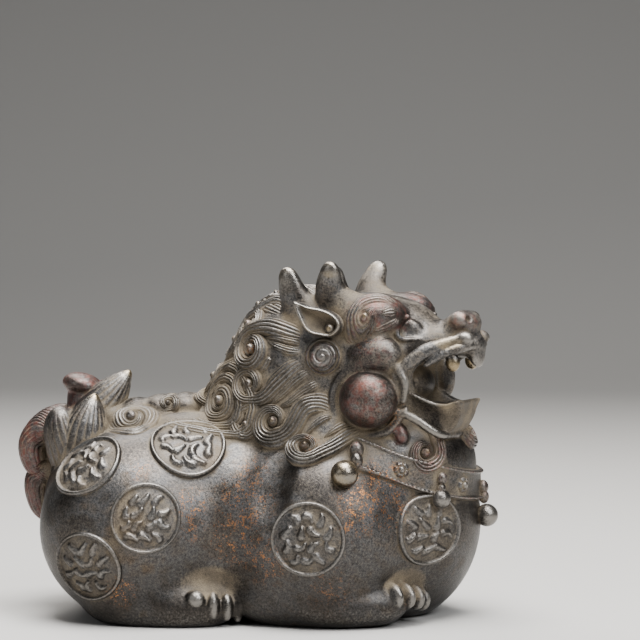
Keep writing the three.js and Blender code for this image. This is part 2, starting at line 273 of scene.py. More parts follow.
def chain(points, sizes, count, where=BODY, flat=1.0, axis=(0, 0, 1)):
    """Round forms strung along a smooth curve, for a horn or a lip; flat squeezes them across."""
    at = curve(points, steps(count))
    run = unit(np.gradient(at, axis=0))
    side = unit(np.cross(run, np.asarray(axis, float)))
    up = np.cross(side, run)
    radii = np.interp(steps(count), steps(len(sizes)), sizes)
    step = np.linalg.norm(np.diff(at, axis=0), axis=1).mean()
    spin, _ = where
    return [
        (in_frame(c, where), spin @ np.stack([t, s, u], 1), np.array([max(r, step * 0.9), r * flat, r]))
        for c, t, s, u, r in zip(at, run, side, up, radii)
    ]


def curve(points, t):
    """A smooth curve through points: between two of them the usual cubic with slopes (next - last) / 2."""
    points = np.asarray(points, float)
    n = len(points) - 1
    padded = np.vstack([2 * points[0] - points[1], points, 2 * points[-1] - points[-2]])
    place = np.clip(np.asarray(t, float) * n, 0, n - 1e-9)
    i = place.astype(int)
    f = (place - i)[:, None]
    a, b, c, d = (padded[i + k] for k in range(4))
    return b + f * (c - a) / 2 + f**2 * (a - 2.5 * b + 2 * c - d / 2) + f**3 * (1.5 * (b - c) + (d - a) / 2)


details = []


def add(shapes, softness, way=ADD):
    """Notes forms to be melted on to the trunk, or cut out of it, with their softness."""
    details.extend((way, shape, softness) for shape in shapes)


def add_chains(points, sizes, count, softness, way=ADD, where=HEAD, **how):
    """Notes a chain on the right side of its frame, then the same on the left."""
    for side in SIDES:
        add(chain(np.asarray(points, float) * (1, side, 1), sizes, count, where, **how), softness, way)


print("halfway along a curve of three points:", curve([(0, 0), (1, 1), (2, 0)], [0.5])[0])

# %% [markdown]
# ## Brows, cheeks, snout, eyes and horns
# The valley between flank and chest is cut first. The forms of the face follow, most of them on both
# sides of the head, and the horns stand on the skull behind them.

# %% Brows, cheeks, snout, eyes and horns
# the valley between the flank and the chest
VALLEY = (
    (7.9, 23.8, 36.8), (5.5, 25.8, 33.6), (4.1, 27.5, 29.7),
    (3.8, 28.9, 25.8), (4.7, 30.1, 22.0), (6.3, 31.0, 18.6),
)
add_chains(VALLEY, (2.0, 3.0, 3.5, 3.4, 2.9, 2.0), 12, 3.0, CUT, where=BODY)
# brows, upper cheeks and the large cheek balls
brow_forms = pair((8.4, 8.6, 12.2), (7.4, 5.4, 4.9), tilt=8, yaw=-10, where=HEAD)
add(brow_forms, 1.0)
add(pair((10.6, 11.2, 4.8), (5.3, 3.5, 3.8), tilt=10, where=HEAD), 2.2)
add(pair((9.4, 12.4, -4), (6, 5.4, 5.9), where=HEAD), 0.3)
# snout, nose and nostrils
snout_forms = [
    form((13, 0, 5.6), (11, 8.6, 5.4), tilt=18, where=HEAD),
    form((20, 0, 7.4), (8, 4.4, 3.6), tilt=18, where=HEAD),
    form((25.2, 0, 11), (3.6, 4.4, 2.9), tilt=10, where=HEAD),
    form((25.4, 0, 6.8), (4, 5, 2.6), tilt=10, where=HEAD),
    form((28.2, 0, 5), (1.4, 2.6, 3), where=HEAD),
]
add(snout_forms, 1.6)
add(pair((25.6, 3.1, 11.8), (2.2, 1.9, 1.9), where=HEAD), 0.5)
add(pair((27.3, 3.3, 12.1), (0.9, 0.8, 0.7), where=HEAD), 0.3, CUT)
# eyes: a dark tilted plate behind a thin lid line that falls from the tip of the brow
add(pair((16.4, 6.3, 10.2), (2.5, 1.1, 1.7), tilt=-30, yaw=-24, where=HEAD), 0.4)
LID = ((16.0, 7.6, 12.6), (14.6, 8.6, 12.0), (14.2, 9.0, 10.0), (15.0, 9.0, 8.2), (18.6, 6.8, 8.0))
add_chains(LID, (0.5, 0.55, 0.5, 0.4), 30, 0.3)
# the socket rims round the cheek balls
SOCKET_MIDDLE, SOCKET_RADIUS, SOCKET_SLANT = (9.2, 11.6, -4.2), 7.2, 1.8
socket = np.radians(np.linspace(20, 340, 9))
round_it = [SOCKET_RADIUS * np.cos(socket), -SOCKET_SLANT * np.cos(socket), SOCKET_RADIUS * np.sin(socket)]
add_chains(np.stack(round_it, 1) + SOCKET_MIDDLE, (0.9, 1.0, 0.9), 26, 0.5)
# the horns, like fins: long from front to back at the root
HORNS = (
    ((-3.0, 8.6, 9.2), (-7.4, 10.4, 15.6), (-8.6, 12.0, 21.0)),
    ((5.0, 7.6, 10.8), (0.4, 10.4, 17.0), (1.3, 12.8, 22.2)),
)
for horn in HORNS:
    add_chains(horn, (6.0, 4.2, 2.9, 2.2, 1.55), 9, 1.6, flat=0.66, axis=(1, 0, 0))
print("small forms so far:", len(details))

# %% [markdown]
# ## The jaws
# The lower jaw is a spout with flat, slightly hollow sides and a trough behind a raised rim.
# Flat faces don't come out of round forms, so the jaw is the space inside several walls at once:
# the largest of the distances to its walls, with the edges softened in the same way as a melt.

# %% The jaws
JAW_BACK, JAW_LENGTH = 8, 17
RIM_THICKNESS, FLOOR_THICKNESS, FRONT_THICKNESS = 2.3, 2.4, 2.5


def inside_all(walls, softness):
    """The space inside every wall: the soft maximum of their distances."""
    value = walls[0]
    for wall in walls[1:]:
        value = -melt(-value, -wall, softness)
    return value


def mix(a, b, t):
    """a at t = 0, b at t = 1, straight between."""
    return a + (b - a) * t


def jaw_walls(points):
    """Each point in the head's frame, and the jaw's half width, top, bottom and front there."""
    x, y, z = from_frame(points, HEAD).T
    along = np.clip((x - JAW_BACK) / JAW_LENGTH, 0, 1)
    bottom = mix(-7, -11.0, along**0.8)
    top = -1.7 - 3.3 * smooth(0.3, 0.9, along) + 0.7 * smooth(23.4, 26.4, x)
    rise = np.clip((z - bottom) / (top - bottom), 0, 1)
    hollow = 1.1 * np.sin(np.pi * rise)
    half = mix(11, 6.7, along**0.8) * mix(0.72, 1, rise) - hollow * smooth(0.2, 0.6, along)
    front = 23 + 3.9 * smooth(-0.35, 0.6, rise) - 0.6 * hollow
    return x, y, z, half, top, bottom, front


def jaw(points):
    """Inside the side walls, under the rim, above the floor and behind the front."""
    x, y, z, half, top, bottom, front = jaw_walls(points)
    return inside_all([np.abs(y) - half, z - top, bottom - z, x - front, JAW_BACK - x], 0.7)


def trough(points):
    """The jaw's hollow: the same walls moved in by the thickness of the rim, open above."""
    x, y, z, half, _, bottom, front = jaw_walls(points)
    side, floor = np.abs(y) - half + RIM_THICKNESS, bottom + FLOOR_THICKNESS - z
    return inside_all([side, floor, z - 0.5, x - front + FRONT_THICKNESS, JAW_BACK + 2 - x], 0.6)


def within(shape_function, centre, reach):
    """A shape given by a function, with the ball outside which it is skipped."""
    return shape_function, in_frame(centre, HEAD), reach


print("the jaw's function is below 0 inside its floor:", jaw(in_frame([(17, 0, -8)], HEAD)).round(1))

# %% [markdown]
# ## The mouth
# The jaw, the lips and the gums are added, and the mouth and the trough are cut out of them.
# What stands in the opening, or on the jaw's outside, comes last, so that no cut takes it away.

# %% The mouth
add([within(jaw, (17, 0, -6), 15)], 0.6)
LIP = ((14.8, 11.2, 1.2), (17.6, 10.4, 3.6), (20.2, 9.0, 5.7), (23.0, 7.2, 6.9), (25.8, 5.6, 8.0))
add_chains(LIP, (0.7, 1.4, 1.5, 1.3, 1.0), 14, 0.35, flat=0.85)
GUM = ((20.6, 8.6, 3.2), (22.6, 7.7, 4.7), (25.4, 6.2, 6.0), (27.6, 4.4, 6.7), (28.8, 1.2, 6.8))
add_chains(GUM, (0.6, 1.0, 1.0, 0.9), 14, 0.35)
add(pair((27.0, 4.6, 8.2), (2.1, 1.6, 1.5), where=HEAD), 0.35)
add([form((17.2, 9.4, -0.6), (2.6, 1.9, 4.6), where=HEAD)], 0.8)
add([form((14.8, -9.8, -0.6), (2.2, 1.9, 4.4), where=HEAD)], 0.8)
add([form((21.5, 0, 0.0), (8, 8.2, 4.3), where=HEAD)], 0.7, CUT)
add([within(trough, (17, 0, -4), 13)], 0.5, CUT)
add([form((12.6, 0, -1.4), (5.6, 8.2, 4.6), where=HEAD)], 1.0)
add_chains([(15.2, 11.4, 2.4), (16.8, 11.2, -0.4), (16.2, 10.6, -4.0)], (0.8, 0.9, 0.7), 8, 0.6)
CHIN = ((13.6, 10.8, -6.0), (18.2, 9.2, -7.9), (22.4, 6.7, -11.0), (23.6, 0.4, -11.4))
add_chains(CHIN, (0.7, 0.9, 0.9, 0.8), 16, 0.4)
add([form((17, 0, -6.6), (7, 4, 1.9), where=HEAD)], 0.5)
add(pair((25.0, 5.6, 3.4), (1.5, 1.3, 1.9), where=HEAD), 0.3)
add(pair((14.9, 8.9, -10.9), (1.6, 1.5, 2.6), tilt=25, where=HEAD), 0.5)
print("small forms with the mouth:", len(details))

# %% [markdown]
# ## Paws, back ridge and the root of the tail
# The beast lies on its paws, so only the toes show, as short knuckles side by side.
# The spine carries a low scalloped ridge, and the tail rises from the rump as a bundle of flames.

# %% Paws, ridge and tail root
FRONT_TOES = ((29.2, 21.4, 6.6), (31.5, 19.4, 6.4), (33.2, 16.8, 5.9), (34.2, 13.9, 5.3))
HIND_TOES = ((-10.2, 25.3, 5.8), (-6.8, 24.4, 4.6), (-4.2, 23.0, 4.1), (-2.2, 21.0, 3.6))
add(pair((25.6, 17.4, 4.8), (5.8, 5.6, 4.5)), 1.6)
add(pair((20.5, 21.6, 4.3), (11.5, 4.7, 4.2), yaw=-14), 2.2)
add(pair((-12.5, 20.6, 3.4), (9.5, 5.4, 4.2)), 2.0)
for at in FRONT_TOES:
    add(pair(at, (3.0, 1.3, 2.5), tilt=-38, yaw=38), 0.2)
for at, size in zip(HIND_TOES, [(2.0, 1.8, 2.0)] + [(1.35, 1.5, 2.8)] * 3):
    add(pair(at, size), 0.25)
SPINE = ((-35, 0, 39.4), (-27, 0, 41.6), (-18, 0, 42.8), (-9, 0, 43.6), (-3, 0, 46.4))
scallops = zip(curve(SPINE, steps(8)), np.linspace(5.4, 4.4, 8))
ridge_forms = [form(at, (4.2, width, 3.2)) for at, width in scallops]
ridge_forms += pair((-25.0, 5.8, 39.6), (6.0, 3.6, 3.2)) + pair((-12.0, 6.4, 38.4), (14.0, 5.2, 4.0))
add(ridge_forms, 0.9)
add([form((-40, 0.5, 36.6), (4.4, 6, 6))], 2.0)
add(chain([(-33, 1, 36), (-36.6, 2, 41.5), (-37.6, 2.4, 46.0)], (5.2, 4.2, 3.2), 7), 1.0)
add([form((-37.8, 2.4, 47.4), (4.4, 4.4, 2.5), tilt=-14)], 0.3)
TAIL_FALL = ((-37, 0, 36), (-42.4, 0, 36.4), (-44.4, 0, 30), (-43.0, 0, 21))
add(chain(TAIL_FALL, (5.8, 4.8, 4.0, 2.8), 9, axis=(0, 1, 0)), 1.2)
print("small forms:", len(details))

# %% [markdown]
# ## The field of the whole figure
# The field answers one question at any point: how far outside the bronze is it.
# The foot of the figure is cut flat by the ground, with a small rounding.

# %% The field of the whole figure
GROUND_ROUND, ZONE_MARGIN = 0.8, 2.5


def figure(points):
    """The distance outside the whole bronze: the trunk, then each small form where the points are near it."""
    flat = points.reshape(-1, 3)
    value = trunk(flat)
    low, high = flat.min(0), flat.max(0)
    for way, shape, softness in details:
        if callable(shape[0]):
            shape_function, middle, reach = shape
        else:
            middle, reach = shape[0], shape[2].max()
        zone = reach + softness + ZONE_MARGIN
        if np.any(middle + zone < low) or np.any(middle - zone > high):
            continue
        near = np.einsum("ij,ij->i", flat - middle, flat - middle) < zone**2
        close = flat[near]
        other = shape_function(close) if callable(shape[0]) else outside(shape, close)
        value[near] = (melt if way == ADD else carve)(value[near], other, softness)
    return -melt(-value, flat[:, 2], GROUND_ROUND).reshape(points.shape[:-1])


TETRAHEDRON = np.array([(1, 1, 1), (1, -1, -1), (-1, 1, -1), (-1, -1, 1)], float)


def slope(field, points, reach=0.05):
    """The field's gradient: a tetrahedron's corners, each times the field there, over 4 times the reach."""
    return sum(field(points + reach * k)[..., None] * k for k in TETRAHEDRON) / (4 * reach)


print("the field in the belly's middle, which is inside:", figure(np.array([[0.0, 0.0, 20.0]])).round(1))

# %% [markdown]
# ## A skin drawn over the field
# Blender's own remeshing would blur it, so the skin is drawn straight on the field.
# Space is cut into small cubes. Each cube that the surface crosses gets one vertex, at the middle of the
# crossings on its edges, and each grid edge that is crossed gets one face between the four cubes round it.
# Every vertex is then slid along the field's slope until it lies on the surface itself.

# %% A skin drawn over the field
NEAR_CELLS = 5.2
CORNERS = [(i, j, k) for i in (0, 1) for j in (0, 1) for k in (0, 1)]
EDGES = [(p, q) for p in CORNERS for q in CORNERS if p < q and sum(abs(a - b) for a, b in zip(p, q)) == 1]


def sampled(field, axes, near_reach):
    """The field on a grid: taken at every third point, then at every point where that comes out small."""
    coarse = [a[1::3] for a in axes]
    rough = field(np.stack(np.meshgrid(*coarse, indexing="ij"), -1))
    value = rough[np.ix_(*[np.minimum(np.arange(len(a)) // 3, len(c) - 1) for a, c in zip(axes, coarse)])]
    near = np.nonzero(np.abs(value) < near_reach)
    value[near] = field(np.stack([a[i] for a, i in zip(axes, near)], -1))
    return value


def skin(field, low, high, cell):
    """The field's zero surface by the naive surface net: vertices, quads that face outward, and no marks."""
    axes = [np.arange(a, b + cell, cell) for a, b in zip(low, high)]
    sizes = [len(a) for a in axes]
    value = sampled(field, axes, NEAR_CELLS * cell)
    inside = value < 0
    shifted = [inside[tuple(slice(c, n - 1 + c) for c, n in zip(corner, sizes))] for corner in CORNERS]
    count = sum(s.astype(np.int8) for s in shifted)
    cells = np.stack(np.nonzero((count > 0) & (count < 8)), -1)
    total = np.zeros((len(cells), 3))
    hits = np.zeros(len(cells))
    for first, second in EDGES:
        u, v = value[tuple((cells + first).T)], value[tuple((cells + second).T)]
        crossed = (u < 0) != (v < 0)
        t = np.where(crossed, u / np.where(crossed, u - v, 1), 0)
        at = np.asarray(first) + t[:, None] * (np.asarray(second) - first)
        total += np.where(crossed[:, None], at, 0)
        hits += crossed
    points = np.array([a[0] for a in axes]) + (cells + total / hits[:, None]) * cell
    number = np.full([n - 1 for n in sizes], -1)
    number[tuple(cells.T)] = np.arange(len(cells))
    faces = []
    for axis in range(3):
        order = (axis, (axis + 1) % 3, (axis + 2) % 3)
        solid, index = inside.transpose(order), number.transpose(order)
        i, j, k = np.nonzero(solid[:-1, 1:-1, 1:-1] != solid[1:, 1:-1, 1:-1])
        j, k = j + 1, k + 1
        quad = np.stack([index[i, j - 1, k - 1], index[i, j, k - 1], index[i, j, k], index[i, j - 1, k]], 1)
        out = solid[i, j, k]
        faces.append(np.where(out[:, None], quad, quad[:, ::-1]))
    for _ in range(2):
        gradient = slope(field, points)
        square = np.maximum(np.einsum("ij,ij->i", gradient, gradient), 0.2)
        step = np.clip(field(points) / square, -cell, cell)
        points = points - gradient * step[:, None]
    return points, np.concatenate(faces), np.zeros((len(points), 3))


print("edges of a cube:", len(EDGES))

# %% [markdown]
# ## From arrays to a piece
# Every part of the carving arrives as arrays, and several of them make one mesh object of the casting.
# All the pieces replace the one CAD solid and ride with it, because they are one body of bronze.

# %% From arrays to a piece
made = {}


def put(name, parts):
    """One mesh object from (points in shares, quads, marks) parts, smooth, with its place in its mesh."""
    offsets = np.cumsum([0] + [len(part[0]) for part in parts])[:-1]
    points = np.concatenate([part[0] for part in parts])
    quads = np.concatenate([part[1] + o for part, o in zip(parts, offsets)]).astype(np.int32)
    mesh = bpy.data.meshes.new(name)
    mesh.vertices.add(len(points))
    mesh.vertices.foreach_set("co", ((points - CENTRING) * SHARE).astype(np.float32).ravel())
    mesh.loops.add(quads.size)
    mesh.loops.foreach_set("vertex_index", quads.ravel())
    mesh.polygons.add(len(quads))
    mesh.polygons.foreach_set("loop_start", np.arange(0, quads.size, 4, dtype=np.int32))
    mesh.polygons.foreach_set("use_smooth", np.ones(len(quads), bool))
    mesh.update(calc_edges=True)
    piece = bpy.data.objects.new(name, mesh)
    bpy.context.scene.collection.objects.link(piece)
    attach(piece, "root")
    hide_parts("pixiu_figure")
    made[name] = (piece, points, np.concatenate([part[2] for part in parts]))
    print(f"{name}: {len(points)} points, {len(quads)} quads")


# %% [markdown]
# ## Three skins with hidden joints
# One skin fine enough for the face would be far too heavy for the smooth body.
# So the same field is skinned in three parts with cells of different sizes.
# Each part runs a little past its joint and sinks just under its neighbour there, so no gap or step shows.

# %% The body, the head and the face
BODY_CELL, HEAD_CELL, FACE_CELL = 0.56, 0.42, 0.3
JOINT_SINK, JOINT_OVERLAP, JOINT_SLANT = 0.3, 2.0, 0.335


def part_of(*beyond):
    """The figure up to one or more joints: past a joint the surface sinks a little, then ends."""

    def field(points):
        value = figure(points)
        for past in beyond:
            over = past(points)
            value = np.maximum(value + JOINT_SINK * smooth(0.0, 1.2, over), over - JOINT_OVERLAP)
        return value

    return field


def above_collar(points):
    """How far a point is above the slanting plane under the mane and the middle of the collar."""
    return (points[..., 2] - 27.8 - (49 - points[..., 0]) * JOINT_SLANT) / math.hypot(1, JOINT_SLANT)


def before_face(points):
    """How far a point is in front of the plane through the cheeks, along the head."""
    return (points - HEAD[1]) @ HEAD[0][:, 0] - 12.5


def below_collar(points):
    """How far a point is below that first plane."""
    return -above_collar(points)


def behind_face(points):
    """How far a point is behind that second plane."""
    return -before_face(points)


put("body", [skin(part_of(above_collar), (-51, -31, -1.2), (52, 31, 56), BODY_CELL)])
put("head", [skin(part_of(below_collar, before_face), (-16, -29, 26), (40, 25, 78), HEAD_CELL)])
put("face", [skin(part_of(below_collar, behind_face), (23, -25, 28), (52, 16, 72), FACE_CELL)])

# %% [markdown]
# ## Laying carving on the bronze
# Locks, medallions and the collar follow the body under them, whatever its shape.
# A shrinkwrap modifier could do it, but it moves points to the nearest place, which bunches fine grooves.
# Here every point of a flat pattern travels inward along one direction until it meets the field,
# and is then lifted off along the surface's own normal.

# %% Landing on the bronze
STRIDE, CLOSE_ENOUGH, ASTRAY = 0.9, 0.01, 0.05
START_HEIGHT = 9
SHORT_WAY, MIDDLE_WAY, LONG_WAY = 26, 50, 60


def land(field, start, way, strides=SHORT_WAY):
    """Points that travel along a direction by the distance that is left, until they lie on the field.

    One that would miss stops where it came nearest and slides down the slope to the surface.
    """
    points = np.array(start, float).reshape(-1, 3)
    way = np.broadcast_to(way, np.shape(start)).reshape(-1, 3)
    best, nearest = points.copy(), np.full(len(points), np.inf)
    moving = np.arange(len(points))
    for _ in range(strides):
        gap = field(points[moving])
        size = np.abs(gap)
        closer = moving[size < nearest[moving]]
        best[closer] = points[closer]
        nearest[moving] = np.minimum(nearest[moving], size)
        points[moving] += way[moving] * (STRIDE * np.clip(gap, -5, 30))[:, None]
        moving = moving[size > CLOSE_ENOUGH]
        if not len(moving):
            break
    missed = nearest > ASTRAY
    if missed.any():
        astray = best[missed]
        for _ in range(4):
            astray = astray - normals(field, astray) * field(astray)[:, None]
        best[missed] = astray
    return best.reshape(np.shape(start))


def normals(field, points):
    """The surface's outward normals: the field's slope at length one."""
    return unit(slope(field, points, 0.25))


def seen(pixels, field=trunk):
    """The points of the surface that the photograph shows at some of its pixels."""
    way = sight(*np.transpose(pixels))
    start = eye / SHARE + CENTRING + way * (CAMERA_DISTANCE / SHARE - 75)
    return land(field, start, way, LONG_WAY)


def across_head(points):
    """The mirror image of points on the other side of the head."""
    return in_frame(from_frame(points, HEAD) * np.array([1, -1, 1]), HEAD)


print("the pixel 320, 500 of the photograph lands at", seen([(320, 500)]).round(1))

# %% [markdown]
# ## Closed pieces from grids
# A piece of carving is a grid of points in rings, whose first and last rings are filled in.
# A real carving has no open edge, and a closed piece can't show its inside where it meets the body.

# %% Closed pieces from grids


def net(rows, cols):
    """The quads of a grid of rings, each ring's last point joined to its first."""
    i, j = np.meshgrid(np.arange(rows - 1), np.arange(cols), indexing="ij")
    here, below, beside = i * cols, (i + 1) * cols, (j + 1) % cols
    return np.stack([here + j, here + beside, below + beside, below + j], -1).reshape(-1, 4)


def facing_out(points, quads):
    """The quads as they are, or reversed where the volume that they enclose comes out negative."""
    a, b, c, d = points[quads.T]
    volume = np.einsum("ij,ij->i", a, np.cross(b, c) + np.cross(c, d)).sum()
    return quads if volume > 0 else quads[:, ::-1]


def marked(shape, dust=0.0, red=0.0, gold=0.0):
    """The three marks of each point of a grid: how dusty, how red and how bright it is."""
    return np.stack([np.broadcast_to(mark, shape) for mark in (dust, red, gold)], -1)


def closed(grid, marks):
    """A grid of rings with an even number of points each, as a closed piece with its two ends filled in."""
    rows, cols = grid.shape[:2]
    points = np.concatenate([grid.reshape(-1, 3), grid[:1].mean(1), grid[-1:].mean(1)])
    i = np.arange(0, cols, 2)
    end, last = (rows - 1) * cols, rows * cols + 1
    start_cap = np.stack([np.full_like(i, last - 1), (i + 2) % cols, i + 1, i], 1)
    end_cap = np.stack([np.full_like(i, last), end + i, end + i + 1, end + (i + 2) % cols], 1)
    quads = np.concatenate([net(rows, cols), start_cap, end_cap])
    flat = np.concatenate([marks.reshape(-1, 3), marks[:1].mean(1), marks[-1:].mean(1)])
    return points, facing_out(points - points.mean(0), quads), flat


print("quads of a grid of 3 rings of 4 points:", len(net(3, 4)))

# %% [markdown]
# ## Locks of the mane
# Each lock is a band of three to six round strands that sweeps back and winds into a coil round a bead.
# Curves with a bevel would give round ropes, and these locks are flat, grooved and cut from the wax.
# So a lock is a surface over two numbers: one runs along its line and one across its strands.
# The line goes through a few points, then spirals in. The outer edge closes on the bead while the inner
# edge keeps to it, so the band grows thin as it turns. Where strands meet, the lift dips into a groove.

# %% Locks
STRAND_STEPS, LOCK_STEP = 6, 0.34
LINE_POINTS, SPIRAL_POINTS, SPIRAL = 24, 60, 0.85
BEAD_LIMIT, SLIMMEST = 1.15, 0.12
LOCK_UNDER, LOCK_SINK, DOME_UNDER, DOME_SINK = -1.1, 0.3, -1.2, 0.25
UNDERSIDE = np.array([0.9, 0.0, -0.9])


def lift_of_strands(u, strands):
    """A round crown over the whole band times round ridges, with a sharp valley between two strands."""
    crown = (1 - np.abs(u) ** 2.6).clip(0) ** 0.55
    ridges = np.sqrt(np.abs(np.sin(np.pi * strands * (u + 1) / 2)))
    return crown, ridges


def lock(route, middle, wide, high, strands, red=0.0, gold=0.25, field=trunk, deepest=99.0):
    """One lock along route, points on the surface, that may wind round middle; wide is half its width."""
    anchor = route if middle is None else np.vstack([route, middle])
    out = unit(normals(field, anchor).mean(0))
    origin = anchor.mean(0)
    plane = np.stack(level_with(out), 1)
    line = curve((route - origin) @ plane, steps(LINE_POINTS))
    half = np.interp(steps(LINE_POINTS), steps(len(wide)), wide)
    bead = None
    if middle is not None:
        centre = (middle - origin) @ plane
        offset, run = line[-1] - centre, line[-1] - line[-3]
        radius = np.hypot(*offset)
        half = half * np.minimum(1, 0.78 * radius / half[-1])
        bead = min(radius - half[-1], 0.3 * radius, BEAD_LIMIT)
        hand = np.sign(offset[0] * run[1] - offset[1] * run[0])
        reach, inner = radius + half[-1] - bead, radius - half[-1] - bead
        whole = 2 * np.pi / (1 - (inner / reach) ** (1 / SPIRAL))
        angle = np.linspace(0, whole, SPIRAL_POINTS)[2:]
        outer = bead + reach * (1 - angle / whole) ** SPIRAL
        within_it = bead + reach * (1 - (angle + 2 * np.pi) / whole).clip(0) ** SPIRAL
        around = np.arctan2(offset[1], offset[0]) + hand * angle
        spiral = centre + ((outer + within_it) / 2)[:, None] * np.stack([np.cos(around), np.sin(around)], 1)
        line = np.vstack([line[:-1], spiral])
        half = np.concatenate([half[:-1], np.maximum((outer - within_it) / 2, SLIMMEST)])
    length = np.concatenate([[0], np.cumsum(np.linalg.norm(np.diff(line, axis=0), axis=1))])
    rows = max(LINE_POINTS, int(length[-1] / LOCK_STEP))
    along = np.linspace(0, length[-1], rows)
    line = np.stack([np.interp(along, length, line[:, k]) for k in (0, 1)], 1)
    line[1:-1] = (line[:-2] + 2 * line[1:-1] + line[2:]) / 4
    half = np.interp(along, length, half)
    run = unit(np.gradient(line, axis=0))
    beside = np.stack([-run[:, 1], run[:, 0]], 1)
    t = along / length[-1]
    if middle is None:
        half = half * np.sqrt((1 - t**3).clip(0.002))
    u = np.concatenate([np.linspace(-1, 1, STRAND_STEPS * strands + 1), UNDERSIDE])
    flat = line[:, None] + beside[:, None] * (half[:, None] * u)[..., None]
    start = origin + flat @ plane.T + out * START_HEIGHT
    base = land(field, start, -out)
    drop = np.maximum((start - base) @ out - START_HEIGHT - deepest, 0)
    base = base + out * drop[..., None]
    crown, ridges = lift_of_strands(u, strands)
    swell = smooth(-0.02, 0.22, t) * (1 - 0.3 * smooth(0.75, 1, t)) * np.minimum(1, half / 0.8) ** 0.5
    lift = high * swell[:, None] * crown * (0.60 + 0.40 * ridges) - LOCK_SINK
    lift[:, -len(UNDERSIDE):] = LOCK_UNDER
    marks = marked(lift.shape, (1 - ridges) * 0.7 + (1 - crown) * 0.5, red, gold * ridges * crown)
    parts = [closed(base + normals(field, base) * lift[..., None], marks)]
    if bead is not None:
        bead = max(bead, 0.55) * 0.98
        parts.append(dome(middle, out, bead, high * 1.15, red=max(red, 0.35), gold=0.5, field=field))
    return parts


print("points across a lock of five strands:", STRAND_STEPS * 5 + 1 + len(UNDERSIDE))

# %% [markdown]
# ## Round bosses
# Beads, rosettes and coiled bosses all stand on the surface as low domes, so one function makes them.
# Rings of points are landed on the bronze and lifted, and a groove may be cut into the lift.

# %% Round bosses


def circle(count):
    """That many even angles round a circle, as one row."""
    return np.linspace(0, 2 * np.pi, count, endpoint=False)[None]


def dome(middle, out, radius, high, red=0.0, gold=0.0, rings=9, around=20, groove=None, field=trunk):
    """A round boss on the surface: its lift is high times the root of 1 - r^2; groove may cut into it."""
    first, second = level_with(out)
    r = np.concatenate([np.linspace(0.04, 1, rings), [0.9, 0.3]])[:, None]
    a = circle(around)
    flat = first * (r * np.cos(a))[..., None] + second * (r * np.sin(a))[..., None]
    base = land(field, middle + flat * radius + out * START_HEIGHT, -out)
    depth = 0 * r * a if groove is None else groove(r, a)
    lift = high * bulge(r) - depth - DOME_SINK
    lift[-2:] = DOME_UNDER
    marks = marked(lift.shape, 0.8 * (r > 0.9) + depth * 1.6, red, gold * (1 - r**2))
    return closed(base + unit(out + 0.6 * normals(field, base)) * lift[..., None], marks)


print("the first angles of a ring of 20 points:", circle(20)[0, :3].round(2))

# %% [markdown]
# ## The mane on both sides
# The locks are traced on the photograph: each row has a lock's line and its bead as pixels, then its half
# widths, height, number of strands and redness. The far side wears their mirror images.

# %% The mane on both sides
NEAR_LOCKS = (
    (((307.1, 336.4), (287.9, 331.1), (268.6, 327.4), (252.5, 331.7)),
     (254.0, 349.7), (1.6, 2.0, 2.0, 1.5), 2.2, 5, 0.15),
    (((294.3, 317.1), (275.0, 308.1), (260.0, 308.1), (248.2, 315.4)),
     (249.7, 326.1), (1.4, 1.9, 1.6, 1.0), 1.5, 5, 0.0),
    (((307.1, 360.0), (292.1, 368.6), (278.2, 382.5), (264.3, 397.5), (249.7, 401.1)),
     (249.9, 383.1), (1.2, 1.9, 2.2, 1.8, 1.3), 1.7, 5, 0.2),
    (((337.1, 409.3), (320.0, 402.9), (303.9, 408.2), (294.3, 424.3)),
     (273.9, 422.1), (1.6, 2.3, 2.4, 2.3), 2.1, 6, 0.1),
    (((362.9, 428.6), (347.9, 436.1), (328.6, 451.1), (311.4, 460.7)),
     (305.0, 448.9), (1.3, 1.8, 1.8, 1.4), 2.3, 5, 0.1),
    (((335.0, 414.6), (320.0, 421.1), (308.2, 431.8), (302.4, 442.5)),
     None, (0.5, 0.9, 0.8, 0.3), 1.2, 3, 0.0),
    (((320.0, 381.4), (305.0, 390.0), (290.0, 401.8), (277.1, 409.3)),
     None, (1.0, 1.5, 1.4, 0.6), 0.95, 5, 0.0),
    (((311.4, 370.7), (296.4, 379.3), (281.4, 394.3), (266.4, 409.3)),
     None, (0.8, 1.3, 1.3, 0.5), 0.9, 4, 0.0),
    (((270.7, 405.0), (257.9, 402.9), (246.1, 408.2)),
     (246.7, 424.7), (0.9, 1.3, 1.2), 1.3, 4, 0.05),
    (((232.1, 368.6), (220.4, 372.9), (211.1, 385.7)),
     (220.4, 400.7), (0.9, 1.3, 1.1), 1.4, 4, 0.0),
    (((302.9, 351.4), (290.0, 350.4), (277.1, 346.1), (266.4, 340.7)),
     None, (0.7, 1.1, 1.0, 0.4), 1.0, 4, 0.0),
    (((302.9, 342.9), (288.9, 340.7), (275.0, 337.5), (264.3, 337.5)),
     None, (0.7, 0.9, 0.8, 0.4), 1.1, 3, 0.0),
    (((412.0, 421.0), (424.0, 423.5), (434.0, 432.0), (437.5, 445.0)),
     (425.0, 454.0), (0.8, 1.5, 1.8, 1.5), 1.8, 5, 0.5),
    (((270.7, 355.7), (264.3, 366.4), (257.9, 372.9)), None, (0.6, 1.0, 0.4), 0.8, 3, 0.0),
    (((350.0, 422.1), (337.1, 428.6), (322.1, 439.3)), None, (0.7, 1.0, 0.5), 0.9, 3, 0.0),
    (((236.4, 351.4), (225.7, 356.8), (219.3, 361.1)),
     (217.1, 367.9), (0.7, 0.9, 0.6), 1.0, 3, 0.0),
)


def lock_pair(route, middle, *rest, field=trunk, **how):
    """A lock drawn on the photograph's pixels, and its mirror image on the other side of the head."""
    route, middle = seen(route, field), None if middle is None else seen([middle], field)[0]
    right = lock(route, middle, *rest, field=field, **how)
    middle = None if middle is None else across_head(middle)
    return right, lock(across_head(route), middle, *rest, field=field, **how)


